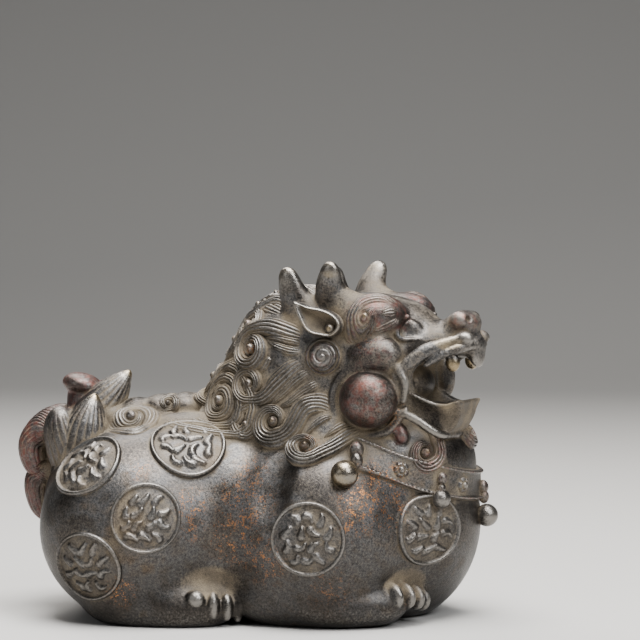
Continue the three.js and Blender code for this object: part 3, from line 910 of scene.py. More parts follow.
right_mane, left_mane = [], []
for *shape, red in NEAR_LOCKS:
    right, left = lock_pair(*shape, red=red)
    right_mane += right
    left_mane += left
put("mane_right", right_mane)
put("mane_left", left_mane)

# %% [markdown]
# ## The nape and the back
# Nothing of the nape shows in the photograph. It is finished as the sides are, in rows of coiled locks
# that turn away from the middle, and flat fluted curls lie on the ridge of the back.

# %% Nape and back curls


def from_behind(side, y, z):
    """Where a ray from behind and above the head meets the trunk."""
    way = HEAD[0] @ unit(np.array([0.9, 0, -0.44]))
    return land(trunk, in_frame([(-60, side * y, z + 24)], HEAD), way, LONG_WAY)[0]


def from_above(side, x, y):
    """Where a ray from above meets the trunk or the ridge."""
    return land(on_ridge, np.array([[x, side * y, 80.0]]), -UP, LONG_WAY)[0]


NAPE = (
    (((9.5, 16), (7.5, 14.6), (7.6, 11.8)), (4.8, 10.4), 5),
    (((10.5, 8), (8.6, 5.6), (8.4, 2.6)), (5.0, 1.0), 5),
    (((11, -1), (9.2, -4.2), (8.8, -7)), (5.4, -9.0), 5),
    (((3.5, 20), (1.8, 17.6), (1.2, 15)), (3.4, 14.2), 4),
)
BACK_CURLS = (
    (((106, 421), (116, 430), (134, 432), (150, 424)), (131, 415), (0.8, 1.6, 1.9, 1.7)),
    (((157, 409), (165, 412), (175, 409)), (168, 403), (0.5, 0.9, 0.8)),
)
NECK_CURL = ((-3, 4.4), (-5.6, 6), (-8.6, 6.2), (-10.4, 5)), (-8.8, 4.2)
RIDGE_LIMIT = 2.4
on_ridge = trunk_with(ridge_forms, 1.2)
nape = []
for side in SIDES:
    for route, middle, strands in NAPE:
        points = np.array([from_behind(side, *at) for at in route])
        nape += lock(points, from_behind(side, *middle), (1.2, 1.9, 1.6), 1.6, strands)
    for route, middle, size in BACK_CURLS:
        points, centre = (seen(pixels, on_ridge) * np.array([1, -side, 1]) for pixels in (route, [middle]))
        nape += lock(points, centre[0], size, 1.0, 4, field=on_ridge, deepest=RIDGE_LIMIT)
    route, middle = NECK_CURL
    points = np.array([from_above(side, *at) for at in route])
    middle = from_above(side, *middle)
    nape += lock(points, middle, (0.6, 1.0, 0.9), 1.0, 4, field=on_ridge, deepest=RIDGE_LIMIT)
put("nape_and_back", nape)

# %% [markdown]
# ## Ears
# An ear is a leaf with a thick polished rim round a dusty cup, and a small coil where the rim ends.
# It could be a curve with a bevel round a filled face. One surface over the distance from the middle of the
# leaf and the angle round it gives the rim, the cup and the wall behind in a single closed piece.

# %% Ears
EAR_OUTLINE = np.array([
    (-4.9, 15.6), (-2.2, 14.8), (1.0, 14.1), (3.7, 12.6), (4.6, 10.6),
    (2.8, 8.6), (0.0, 8.8), (-2.2, 9.6), (-3.7, 12.0),
])
EAR_MIDDLE, EAR_AWAY, EAR_SPREAD = np.array([0.6, 11.5]), 14.7, 0.34
EAR_RIM, EAR_RIM_HALF, EAR_WALL = 0.87, 0.135, (-0.6, -1.6, -4.4, -6.5)
EAR_COIL_PIXEL = (323.3, 356.7)


def ear(side):
    """Rings that grow from the cup's middle over the rim to the outline, then shrink again as the wall."""
    count = len(EAR_OUTLINE)
    t = np.linspace(0, 1, 96, endpoint=False)
    loop = curve(np.vstack([EAR_OUTLINE[-2:], EAR_OUTLINE, EAR_OUTLINE[:2]]), (t * count + 2) / (count + 3))
    r = np.concatenate([np.linspace(0.04, 0.70, 12), np.linspace(0.73, 1.0, 16), [1.01, 0.97, 0.75, 0.35]])
    rim = bulge((r - EAR_RIM) / EAR_RIM_HALF)
    lift = 1.1 * rim - 1.7 * (1 - (r / 0.76) ** 2).clip(0)
    lift[-len(EAR_WALL):] = EAR_WALL
    flat = EAR_MIDDLE + r[:, None, None] * (loop - EAR_MIDDLE)[None]
    away = EAR_AWAY + lift[:, None] + EAR_SPREAD * np.maximum(2 - flat[..., 0], 0)
    points = np.stack([flat[..., 0], side * away, flat[..., 1]], -1)
    dust, gold = ((1 - rim) * (r < 0.8))[:, None] * 1.2, 0.39 * rim[:, None] ** 0.5
    return closed(in_frame(points, HEAD), marked(points.shape[:2], dust, gold=gold))


def notch(x, half):
    """A groove's rounded section across x, 1 deep in its middle: e to the minus (x / half)^2."""
    return np.exp(-((x / half) ** 2))


def coil_boss(at, out, radius, high, red, turns=2.2):
    """A domed disc with a spiral groove, deepest where the turns so far plus angle / 2 pi end in a half."""

    def groove(r, a):
        phase = (turns * r / 0.78 + a / (2 * np.pi)) % 1
        coil = 0.34 * notch(phase - 0.5, 0.16) * smooth(0.02, 0.2, r) * (r < 0.74)
        return coil + 0.8 * notch(r - 0.79, 0.035)

    return dome(at, out, radius, high, red=red, gold=0.25, rings=26, around=72, groove=groove)


def ear_bead(side):
    """The small bright bead at the root of the ear, a dome on a flat plane across the head."""

    def plane(points):
        return side * from_frame(points, HEAD)[..., 1] - 15.0

    middle, out = in_frame((1.9, side * 15.2, 10.2), HEAD), HEAD[0] @ np.array([0, side, 0.0])
    return dome(middle, out, 1.0, 0.8, gold=0.6, field=plane)


near_coil = seen([EAR_COIL_PIXEL])
ears = []
for side, at in zip(SIDES, (near_coil, across_head(near_coil))):
    ears += [ear(side), coil_boss(at[0], normals(trunk, at)[0], 3.9, 2.2, 0.35), ear_bead(side)]
put("ears", ears)

# %% [markdown]
# ## The carved brows
# Each brow is a leaf of fine strands that sweep back from its pointed tip and coil round a bright bead.

# %% Brows
BROW_LEAVES = (
    (((401.5, 310.5), (394, 302), (379, 297), (362, 301), (352.5, 312)),
     (364.2, 317.5), (0.5, 1.6, 1.9, 1.8, 1.6), 0.8, 5),
    (((400.5, 316.5), (393, 325), (380, 330.5), (369, 331)), None, (0.4, 1.3, 1.4, 0.6), 0.7, 4),
    (((399, 313), (391, 311.5), (379, 314.5)), None, (0.4, 1.5, 0.8), 0.6, 4),
)
on_brow = trunk_with(brow_forms, 1.0)
brows = []
for leaf in BROW_LEAVES:
    right, left = lock_pair(*leaf, red=0.45, gold=0.12, field=on_brow)
    brows += right + left
put("brows", brows)

# %% [markdown]
# ## Medallions
# Six on each side of the body: low discs with a rounded rim, a sunken dusty ground and raised marks.
# The marks here are rows of short strokes with no meaning. Text objects or images aren't needed for them.
# Each disc is a grid of circles and spokes laid on the body, and each stroke lifts the points near its line.

# %% Medallions
MEDALLION_RADIUS = 0.0068 / SHARE
MEDALLIONS = (
    ((-20.0, 28.4, 22.4), (0, 1, 0), 0.93),
    ((12.8, 29.5, 18.7), (0.02, 1, 0), 0.99),
    ((-12.6, 18.6, 36.6), (0.08, 0.74, 0.66), 1.03),
    ((-33.6, 21.2, 33.2), (-0.6, 0.45, 0.66), 1.0),
    ((-32.2, 26.4, 12.4), (-0.5, 0.82, -0.24), 0.97),
    ((36.6, 17.6, 19.6), (0.86, 0.52, 0), 0.97),
)
RIM_MIDDLE, RIM_HALF, RIM_LIFT = 0.935, 0.06, 0.70
STROKE_LIFT, STROKE_HALF, STROKES_REACH, FIRST_SEED = 0.62, 0.078, 0.74, 10
STROKE_ROWS = ((0.54, 3), (0.18, 4), (-0.18, 4), (-0.54, 3))


def strokes(u, v, seed):
    """Lift of rows of slanting, tapering strokes: each is 1 near its short bent line and 0 away from it."""
    random = np.random.default_rng(seed)
    lift = np.zeros_like(u)
    for row, count in STROKE_ROWS:
        width = math.sqrt(STROKES_REACH**2 - row**2)
        for k in range(count):
            x = width * (2 * (k + 0.5) / count - 1) + random.uniform(-0.03, 0.03)
            angle = random.choice([0.35, 0.8, -0.5, 2.4, 1.3]) + random.uniform(-0.2, 0.2)
            long, bend = random.uniform(0.10, 0.15), random.uniform(-0.06, 0.06)
            a = (u - x) * math.cos(angle) + (v - row) * math.sin(angle)
            b = (v - row) * math.cos(angle) - (u - x) * math.sin(angle)
            t = np.clip(a / long, -1, 1)
            away = np.hypot(a - t * long, b - bend * (1 - t * t)) / (STROKE_HALF * (1.1 - 0.35 * t))
            lift = np.maximum(lift, np.sqrt((1.15 - away).clip(0, 1)))
    return lift


def medallion(at, toward, size, side, seed):
    """A disc seen face on along a direction, laid on the body and lifted along the body's normals."""
    at, out = np.array(at) * (1, side, 1), unit(np.array(toward) * (1, side, 1))
    beside, rise = level_with(out)
    r = np.concatenate([np.linspace(0.02, 0.84, 27), np.linspace(0.855, 1.0, 10), [1.0, 0.6, 0.1]])[:, None]
    a = circle(120)
    u, v = r * np.cos(a), r * np.sin(a)
    radius = MEDALLION_RADIUS * size
    start = at + out * 12 + radius * (beside * u[..., None] + rise * v[..., None])
    base = land(torso, start, -out, MIDDLE_WAY)
    rim = bulge((r - RIM_MIDDLE) / RIM_HALF)
    mark = strokes(u, v, seed) * smooth(0.82, 0.76, r)
    lift = np.maximum(0.12 + STROKE_LIFT * mark, RIM_LIFT * rim + 0.1)
    lift[-3:] = np.array([-0.5, -0.9, -0.9])[:, None]
    marks = marked(lift.shape, gold=0.24 * np.maximum(mark, rim))
    return closed(base + normals(torso, base) * lift[..., None], marks)


rows = [(*each, side, FIRST_SEED + k) for side in SIDES for k, each in enumerate(MEDALLIONS)]
put("medallions", [medallion(*row) for row in rows])

# %% [markdown]
# ## The collar
# The collar is a flat dusty band between two thin cords, with flower bosses on it and round bells below.
# The band is carried round the neck as a section, and the twist of the cords is a small wave in their lift.

# %% The collar
COLLAR_CENTRE = np.array([22.0, -1.0, 0.0])
COLLAR_FRONT, COLLAR_SIDE, COLLAR_HALF = 27.4, 36.4, 0.0029 / SHARE
COLLAR_REACH, COLLAR_LIFT = 97, 0.9
CORD_LIFT, CORD_MIDDLE, CORD_HALF, TWISTS = 0.6, 0.88, 0.12, 150


def on_collar(angle, drop):
    """Points on the chest at angles in degrees round the neck, a drop below the collar's middle line."""
    away = np.stack([np.cos(np.radians(angle)), np.sin(np.radians(angle)), 0 * angle], -1)
    start = COLLAR_CENTRE + away * 60
    start[..., 2] = mix(COLLAR_FRONT, COLLAR_SIDE, (1 - away[..., 0]) / 1.17) - drop
    return land(trunk, start, -away, LONG_WAY)


def collar():
    """The band's section: flat, with a half round cord along each edge, and an underside in the bronze."""
    angle = np.linspace(-COLLAR_REACH, COLLAR_REACH, 300)[:, None]
    v = np.concatenate([np.linspace(-1, 1, 31), UNDERSIDE])[None]
    base = on_collar(angle + 0 * v, v * COLLAR_HALF + 0 * angle)
    cord = bulge((np.abs(v) - CORD_MIDDLE) / CORD_HALF)
    twist = 1 + 0.22 * np.sin(np.radians(angle) * TWISTS + v * 9)
    lift = COLLAR_LIFT * (1 - np.abs(v) ** 14) + CORD_LIFT * cord * twist
    lift = (lift + 0.5) * smooth(COLLAR_REACH, COLLAR_REACH - 9, np.abs(angle)) - 0.5
    lift[:, -len(UNDERSIDE):] = -1.4
    marks = marked(lift.shape, 0.25 * (1 - cord), 0.45 * cord, 0.3 * cord)
    return closed(base + normals(trunk, base) * lift[..., None], marks)


print("the collar's middle in front:", on_collar(np.zeros(1), np.zeros(1)).round(1))

# %% [markdown]
# ## Rosettes and bells
# A rosette is a boss with its petals cut in. A bell is a ball on the chest under the collar, with two
# small knots above it. Each bell's row has its angle, its knots' angle, its size, how much lower it sits
# and how bright it is rubbed.

# %% Rosettes and bells
BELL_RADIUS = 0.0025 / SHARE
BELLS = (
    (-96, -91, 1.0, 0.0, 0.62),
    (-43, -43, 0.72, -0.9, 0.15),
    (-4, -4, 0.85, 1.6, 0.2),
    (40, 40, 0.72, -0.9, 0.3),
    (88, 86, 1.0, 0.0, 0.5),
)
KNOTS = ((-0.05, 0.52, 0.62), (0.62, 0.46, 0.60))
FLOWER_ANGLES = (-65, -28, 17, 62)


def flower(at, out, radius, petals=5):
    """A boss whose lift dips between petals and round its heart."""

    def groove(r, a):
        between = notch(np.sin(petals * a / 2), 0.35) * smooth(0.3, 0.6, r)
        return 0.5 * np.maximum(between, notch(r - 0.4, 0.09))

    return dome(at, out, radius, 2.2, red=0.25, gold=0.3, rings=18, around=60, groove=groove)


def ball(middle, radii, red=0.0, gold=0.0, dust=0.0):
    """A closed round piece: a sphere of rings stretched by three radii."""
    t, a = np.linspace(0.03, np.pi - 0.03, 22)[:, None], circle(32)
    points = np.stack([np.sin(t) * np.cos(a), np.sin(t) * np.sin(a), np.cos(t) + 0 * a], -1) * radii + middle
    return closed(points, marked(points.shape[:2], dust, red, gold))


def collar_spot(angle, drop):
    """One point under the collar, and the direction that stands out from the chest there."""
    spot = on_collar(np.array([angle], float), np.array([drop], float))
    return spot[0], normals(trunk, spot)[0]


trim = [collar()]
for angle, knot_angle, size, lower, gold in BELLS:
    radius = BELL_RADIUS * size
    at, out = collar_spot(angle, COLLAR_HALF + radius * 0.7 + lower)
    trim.append(ball(at + out * radius * 0.62, radius, red=0.1, gold=gold))
    for drop, wide, tall in KNOTS:
        at, out = collar_spot(knot_angle, COLLAR_HALF * drop + lower / 2)
        trim.append(ball(at + out * 1.3, radius * np.array([wide, wide, tall]), red=0.45, gold=0.2, dust=0.3))
for angle in FLOWER_ANGLES:
    trim.append(flower(*collar_spot(angle, 0), 2.0))
put("collar_and_bells", trim)

# %% [markdown]
# ## The tail's flames
# The tail is a bundle of pointed tufts with flutes from root to tip, polished where they stand highest.
# A tuft is a ring of points carried along a bent line, with waves round it that fade at the tip.

# %% Tail flames
FLUTES, FLUTE_DEPTH = 9, 0.055
ACROSS_TUFT = np.array([0.3, 0.1, 0.2])


def tuft(points, sizes, red, gold):
    """A round section along a curve: its radius less grooves along it, and drawn in at the tip."""
    t = steps(60)[:, None]
    line = curve(points, t[:, 0])
    run = unit(np.gradient(line, axis=0))
    beside = unit(np.cross(run, ACROSS_TUFT))
    other = np.cross(run, beside)
    a = circle(14 * FLUTES)
    radius = np.interp(t, steps(len(sizes)), sizes) * np.sqrt((1 - t**9).clip(0.004))
    wave = np.sqrt(np.abs(np.sin(FLUTES * a)))
    depth = (FLUTE_DEPTH - 0.02 * red) * smooth(0.0, 0.2, t) * smooth(1.0, 0.7, t)
    reach = radius * (1 - depth * (1 - wave))
    rings = beside[:, None] * np.cos(a)[..., None] + other[:, None] * np.sin(a)[..., None]
    dust = (1 - wave) * 0.7 * smooth(1.0, 0.7, t)
    marks = marked(reach.shape, dust, red, 2 * gold * smooth(0.85, 0.98, t))
    return closed(line[:, None] + rings * reach[..., None], marks)


FLAMES = (
    (((-36, 5, 30), (-35.6, 7.0, 38.0), (-33.4, 7.6, 46.2)), (7.4, 6.2, 4.4, 1.5), 0.0, 0.35),
    (((-37.5, 5, 31), (-40.2, 7.2, 37.6), (-41.3, 7.8, 43.4)), (5.6, 4.8, 3.8, 2.6), 0.25, 0.1),
    (((-37, 2.5, 36), (-42.6, 3.2, 39.6), (-47.2, 3.6, 35.6), (-46.4, 3.4, 30.8), (-43.4, 3.4, 31.2)),
     (4.0, 3.8, 3.2, 2.8, 1.7), 0.6, 0.0),
    (((-42, 2, 30), (-46.2, 2.4, 27.6), (-45.9, 2.2, 22.4), (-43.6, 1.8, 18.6)),
     (3.4, 3.2, 2.6, 1.5), 0.6, 0.0),
)
MIDDLE_FLAME = ((-35.5, 0.4, 38), (-32.6, 0.4, 43.8), (-27.3, 0.4, 50.6)), (6.4, 5.6, 3.8, 1.4), 0.0, 0.3
tail = [tuft(*MIDDLE_FLAME)]
for side in SIDES:
    tail += [tuft(np.array(points) * (1, side, 1), *rest) for points, *rest in FLAMES]
put("tail_flames", tail)

# %% [markdown]
# ## The floor
# The figure stands on a pale sweep of paper: flat under it, then curving up behind, so that no edge shows.

# %% The floor
ACROSS, ALONG = 9, 61
BEND_START, BEND_RADIUS = 0.7, 0.4
floor_x, floor_y = np.meshgrid(np.linspace(-1.6, 1.6, ACROSS), np.linspace(-1.5, 1.5, ALONG), indexing="ij")
floor_z = 0.5 * np.maximum(floor_y - BEND_START, 0) ** 2 / BEND_RADIUS
floor_points = np.stack([floor_x, floor_y, floor_z], -1).reshape(-1, 3)
first = (np.arange(ACROSS - 1)[:, None] * ALONG + np.arange(ALONG - 1)).ravel()
floor_quads = np.stack([first, first + ALONG, first + ALONG + 1, first + 1], 1)
floor_mesh = bpy.data.meshes.new("floor")
floor_mesh.from_pydata(floor_points.tolist(), [], floor_quads.tolist())
floor_mesh.polygons.foreach_set("use_smooth", np.ones(len(first), bool))
floor = bpy.data.objects.new("floor", floor_mesh)
bpy.context.scene.collection.objects.link(floor)
paper = bpy.data.materials.new("pale_paper")
paper.use_nodes = True
sheet = paper.node_tree.nodes["Principled BSDF"]
sheet.inputs["Base Color"].default_value = (0.44, 0.43, 0.415, 1)
sheet.inputs["Roughness"].default_value = 0.85
floor_mesh.materials.append(paper)
print("floor points:", len(floor_points))

# %% [markdown]
# ## Light
# The brightest places lie on top, so a large square lamp hangs nearly above. Three weaker ones stand in
# front, to the rear and behind, because dark bronze shows little but what it reflects.

# %% Light
AIM = np.array([0.0, 0.0, 0.03])
LAMPS = (
    ("key_light", (0.05, -0.10, 0.50), 0.34, 9.0, (1.0, 0.99, 0.97)),
    ("front_light", (0.30, -0.34, 0.33), 0.22, 2.4, (0.96, 0.98, 1.0)),
    ("rear_light", (-0.50, -0.55, 0.30), 0.34, 0.7, (0.94, 0.97, 1.0)),
    ("back_light", (-0.14, 0.26, 0.46), 0.28, 2.6, (1.0, 0.97, 0.93)),
)
for name, at, size, power, tint in LAMPS:
    data = bpy.data.lights.new(name, "AREA")
    data.size, data.energy, data.color = size, power, tint
    stand(name, data, at, unit(np.array(at) - AIM))
world = bpy.data.worlds.new("studio")
world.use_nodes = True
sky = world.node_tree.nodes["Background"]
sky.inputs["Color"].default_value = (0.80, 0.81, 0.83, 1)
sky.inputs["Strength"].default_value = 0.11
bpy.context.scene.world = world
print("lamps:", len(LAMPS))

# %% [markdown]
# ## Where dust lies and where hands polish
# On the real figure tan dust has settled into every hollow, and handling has rubbed the high places bright.
# A shader could guess this from the mesh's pointiness, but dense and coarse meshes would then differ.
# Here the bronze fills a grid of small cells, and the grid is blurred. A little above the surface at any
# point, much bronze around means a hollow and little means a ridge, at the scale of the blur.

# %% Hollows and ridges
GRID_CELL = 0.7
GRID_LOW, GRID_HIGH = np.array([-56.0, -37.0, -6.0]), np.array([58.0, 37.0, 84.0])


def bronze_grid():
    """1 in each cell with bronze, 0 outside: where the field is below zero or carving has points."""
    axes = [np.arange(a, b, GRID_CELL) for a, b in zip(GRID_LOW, GRID_HIGH)]
    grid = smooth(0.5, -0.5, sampled(figure, axes, NEAR_CELLS * GRID_CELL) / GRID_CELL)
    for name, (_, points, _) in made.items():
        if name not in ("body", "head", "face"):
            grid[tuple(((points - GRID_LOW) / GRID_CELL + 0.5).astype(int).T)] = 1
    return grid


def blurred(grid, reach):
    """The grid averaged with Gaussian weights along each axis in turn; reach is in shares."""
    taps = np.arange(-int(3 * reach / GRID_CELL), int(3 * reach / GRID_CELL) + 1)
    weights = np.exp(-0.5 * (taps * GRID_CELL / reach) ** 2)
    for axis in range(3):
        grid = sum(w * np.roll(grid, k, axis) for k, w in zip(taps, weights / weights.sum()))
    return grid


def read(grid, points):
    """The grid's value at points, in proportion between the eight cells round each."""
    place = (points - GRID_LOW) / GRID_CELL
    low = np.floor(place).astype(int)
    part = place - low
    value = np.zeros(len(points))
    for corner in CORNERS:
        share = np.prod(np.where(corner, part, 1 - part), axis=1)
        value += share * grid[tuple((low + corner).T)]
    return value


FINE_REACH, BROAD_REACH = 1.0, 3.4
solid = bronze_grid()
fine, broad = blurred(solid, FINE_REACH), blurred(solid, BROAD_REACH)
print("cells with bronze:", int(solid.sum()))

# %% [markdown]
# ## Five things painted on the surface
# Dust, polish, red lacquer, yellow brass and copper specks each get a number from 0 to 1 at every vertex.
# Painted image maps would need an unwrapped surface. These come from the hollows and ridges, from the marks
# that each piece carried from its own pattern, and from soft round places on the figure. Extra dust on the
# far horn and less polish on the tail also stand in for shade there, as painted shade.

# %% Dust, polish, red, brass and copper
RED_PLACES = (
    ((9.4, 12.4, -4), (6.8, 9, 7.0), 0.54),
    ((10.6, 12.0, 5), (5.4, 6, 4.6), 0.42),
    ((10, 9, 13.0), (8.6, 7, 5.4), 0.52),
    ((26.5, 3, 11.5), (3.6, 4, 3.2), 0.5),
    ((14.9, 9, -10.8), (2.2, 2.5, 3.0), 0.6),
)
TAIL_RED = (
    ((-38, 2, 46), (6, 6, 6.5), 0.62),
    ((-45, 0, 28), (5.5, 7, 14), 0.62),
    ((-40, 0, 38), (6, 9, 6), 0.4),
)
GOLD_PLACES = (
    ((-8.6, 12.4, 21.5), (3, 4, 3.0), 0.42),
    ((1.3, 12.8, 22.8), (3, 4, 3.0), 0.42),
    ((24.0, 6.8, 7.6), (4.6, 3.0, 2.0), 0.5),
    ((25.0, 5.6, 3.0), (1.9, 1.9, 2.0), 0.7),
    ((24, 5.5, -4.6), (4, 4, 1.6), 0.35),
)
DUST_PLACES = (
    ((-7.6, 23, 9.0), (7, 5, 3.6), 0.75),
    ((31, 17.5, 8.4), (5.8, 6, 4.2), 0.8),
    ((-12, 9, 42), (22, 6, 4), 0.45),
    ((-14, 8.5, 38.5), (16, 6, 4.5), 0.55),
    ((-37, 6, 36), (7, 8, 7), 0.35),
)
BARE_PLACES = (
    ((16.4, 6.5, 10.2), (3.4, 3.5, 2.9), 1.0),
    ((8.4, 8.6, 12.2), (9.5, 7.5, 6.5), 0.7),
    ((9.4, 12.4, -4), (7.5, 8, 7.5), 0.6),
    ((22.0, 7.6, 5.4), (7.5, 4, 4), 0.5),
)
HEAD_DUST = (
    ((-5, 9.5, 12), (5.5, 5, 6.5), 0.75),
    ((3.4, 8.8, 13.5), (6.5, 5, 7), 0.7),
    ((25.5, 4, -7.2), (4.5, 8, 5), 0.75),
)
# Dust on the far horn only. It also stands in for the shade on that side of the head: dust and painted shade.
FAR_HORN_DUST_AND_SHADE = (((1.5, 12, 18), (5, 5, 8), 0.65),)
DULL_PLACES = (((21.5, 8.0, 4.6), (8.5, 4.5, 5.0), 0.75), ((25.5, 4, -7.2), (4.5, 8, 5), 0.7))
COPPER_PIXELS = (
    ((378, 494), 6.4, 1.0), ((362, 508), 5.0, 0.9), ((390, 510), 4.4, 0.8), ((356, 524), 3.4, 0.8),
    ((246, 500), 5.6, 0.8), ((240, 540), 6.0, 0.65), ((252, 470), 4.0, 0.5), ((190, 505), 3.2, 0.9),
    ((192, 530), 2.6, 0.6), ((120, 592), 3.0, 0.7), ((262, 560), 6.0, 0.5), ((140, 470), 3.0, 0.4),
    ((372, 402), 4.4, 0.8), ((388, 412), 3.4, 0.8), ((360, 322), 2.8, 0.8), ((372, 350), 3.0, 0.7),
    ((254, 350), 2.6, 0.7), ((310, 448), 3.0, 0.5), ((400, 600), 4.0, 0.3), ((330, 590), 6.0, 0.3),
)
LEFT_SHIFT = np.array([-3.0, 0, 1.5])
print("places painted by hand:", sum(map(len, (RED_PLACES, GOLD_PLACES, DUST_PLACES, HEAD_DUST))))

# %% [markdown]
# ## Painting the five numbers
# Each rule is worked out for all the points of a piece at once, and kept on the mesh as attributes.

# %% Painting the five numbers


def near_place(points, centre, radii):
    """1 inside an ellipsoid, fading to 0 over the outer part of its radii."""
    return smooth(1.15, 0.7, np.linalg.norm((points - centre) / radii, axis=1))


def raised(value, points, places):
    """A number lifted to each place's strength near it, where it isn't higher already."""
    for centre, radii, strength in places:
        value = np.maximum(value, strength * near_place(points, centre, radii))
    return value


def lowered(value, points, places):
    """A number less each place's share of it near that place."""
    for centre, radii, share in places:
        value = value * (1 - share * near_place(points, centre, radii))
    return value


def painted(points, outward, marks):
    """The five numbers at each point, as columns."""
    close = read(fine, points + outward * 0.5)
    wide = read(broad, points + outward * 1.7)
    hollow = smooth(0.38, 0.60, close) * 0.6 + smooth(0.38, 0.62, wide) * 0.55
    ridge = smooth(0.30, 0.14, close) * 0.7 + smooth(0.26, 0.12, wide) * 0.3
    ridge = ridge + 2.0 * marks[:, 2] * (marks[:, 2] < 0.4)
    x, _, z = points.T
    in_head = from_frame(points, HEAD)
    one_side, one_cheek = (np.abs(p) * (0, 1, 0) + p * (1, 0, 1) for p in (points, in_head))
    mane = smooth(16, 2, in_head[:, 0]) * smooth(34, 40, z) * smooth(-4, 4, x)
    back = smooth(36, 42, z) * smooth(4, -6, x) * smooth(-38, -30, x)
    face = 0.48 * smooth(-14, -7, in_head[:, 2]) * smooth(-6, 6, in_head[:, 0])
    face = lowered(face, one_cheek, BARE_PLACES)
    film = 0.04 * mane + 0.38 * back + 0.18 * smooth(9, 2, z) + face * (1 - mane)
    film = raised(raised(film, one_side, DUST_PLACES), one_cheek, HEAD_DUST)
    # The far horn's dust is partly painted shade.
    film = raised(film, in_head, FAR_HORN_DUST_AND_SHADE)
    # Polish fades out behind x = -33, over the tail, so that the tail stays darker: painted shade.
    ridge = lowered(ridge * (1 - 0.5 * face) * (1 - 0.55 * smooth(-33, -38, x)), one_cheek, DULL_PLACES)
    dust = (hollow + film) * (1 - 0.55 * ridge.clip(0, 1)) + 0.85 * marks[:, 0]
    red = raised(raised(marks[:, 1], one_cheek, RED_PLACES), points, TAIL_RED)
    gold = raised(marks[:, 2], one_cheek, GOLD_PLACES)
    copper = np.zeros(len(points))
    for at, (_, radius, strength) in zip(copper_spots, COPPER_PIXELS * 2):
        copper = np.maximum(copper, strength * np.exp(-(((points - at) ** 2).sum(1) / radius**2)))
    return np.stack([dust, ridge, red, gold, copper], 1).clip(0, 1)


spots = seen([pixel for pixel, _, _ in COPPER_PIXELS])
copper_spots = np.concatenate([spots, spots * (1, -1, 1) + LEFT_SHIFT])
for name, (piece, points, marks) in made.items():
    outward = np.empty(len(points) * 3, np.float32)
    piece.data.vertex_normals.foreach_get("vector", outward)
    columns = painted(points, outward.reshape(-1, 3), marks)
    for title, column in zip(("dust", "polish", "red", "brass", "copper"), columns.T):
        layer = piece.data.attributes.new(title, "FLOAT", "POINT")
        layer.data.foreach_set("value", column.astype(np.float32))
    print(name, "mean dust and polish", columns[:, :2].mean(0).round(2))

# %% [markdown]
# ## Short names for material nodes
# A material is a net of nodes. It could be drawn by hand in the shader editor, but code can be read and
# repeated. All noise is read in object coordinates, in metres, so that the grain has its true size.

# %% Short names for material nodes


class Wiring:
    """Adds nodes to a material and links them, so that the layers below read one line each."""

    def __init__(self, name):
        self.material = bpy.data.materials.new(name)
        self.material.use_nodes = True
        self.tree = self.material.node_tree
        self.shader = self.tree.nodes["Principled BSDF"]
        self.place = self.node("ShaderNodeTexCoord").outputs["Object"]

    def node(self, kind, inputs=None, **settings):
        """A node with its settings; each input is a link from another node's output, or a fixed value."""
        made_node = self.tree.nodes.new(kind)
        for key, value in settings.items():
            setattr(made_node, key, value)
        for key, value in (inputs or {}).items():
            if isinstance(value, bpy.types.NodeSocket):
                self.tree.links.new(value, made_node.inputs[key])
            else:
                made_node.inputs[key].default_value = value
        return made_node

    def noise(self, size, detail=3.0, rough=0.55):
        """Noise whose lumps are about this many millimetres across."""
        inputs = {"Vector": self.place, "Scale": 1000 / size, "Detail": detail, "Roughness": rough}
        return self.node("ShaderNodeTexNoise", inputs).outputs["Fac"]

    def paint(self, title):
        """A number painted at the vertices."""
        return self.node("ShaderNodeAttribute", attribute_name=title).outputs["Fac"]

    def maths(self, operation, a, b=0.0, clamp=False):
        """One arithmetic step on two numbers."""
        return self.node("ShaderNodeMath", {0: a, 1: b}, operation=operation, use_clamp=clamp).outputs[0]

    def plus(self, a, b):
        """The sum of two numbers."""
        return self.maths("ADD", a, b)

    def less(self, a, b, clamp=False):
        """The first number less the second."""
        return self.maths("SUBTRACT", a, b, clamp)

    def times(self, a, b, clamp=False):
        """The product of two numbers."""
        return self.maths("MULTIPLY", a, b, clamp)

    def mean(self, a, b, share=0.5):
        """Two numbers mixed: the first times one less the share, plus the second times the share."""
        return self.plus(self.times(a, 1 - share), self.times(b, share))

    def frayed(self, value, noise, amount):
        """A number plus noise about its middle, so that its edges break up."""
        return self.plus(value, self.times(self.less(noise, 0.5), amount))

    def span(self, value, low, high, to_low=0.0, to_high=1.0):
        """A number carried smoothly from one range to another and held at the ends."""
        inputs = {0: value, 1: low, 2: high, 3: to_low, 4: to_high}
        return self.node("ShaderNodeMapRange", inputs, interpolation_type="SMOOTHSTEP").outputs[0]

    def blend(self, share, a, b, way="MIX"):
        """Two colours mixed by a share, or the first times the second."""
        return self.node("ShaderNodeMix", {0: share, 6: a, 7: b}, data_type="RGBA", blend_type=way).outputs[2]

    def levels(self, value, stops):
        """A colour that follows a number through several stops."""
        made_node = self.node("ShaderNodeValToRGB", {0: value})
        ramp = made_node.color_ramp
        while len(ramp.elements) < len(stops):
            ramp.elements.new(0.5)
        for element, (at, colour) in zip(ramp.elements, stops):
            element.position, element.color = at, (*colour, 1)
        return made_node.outputs[0]


print("steps that a layer can use:", [name for name in vars(Wiring) if not name.startswith("_")])
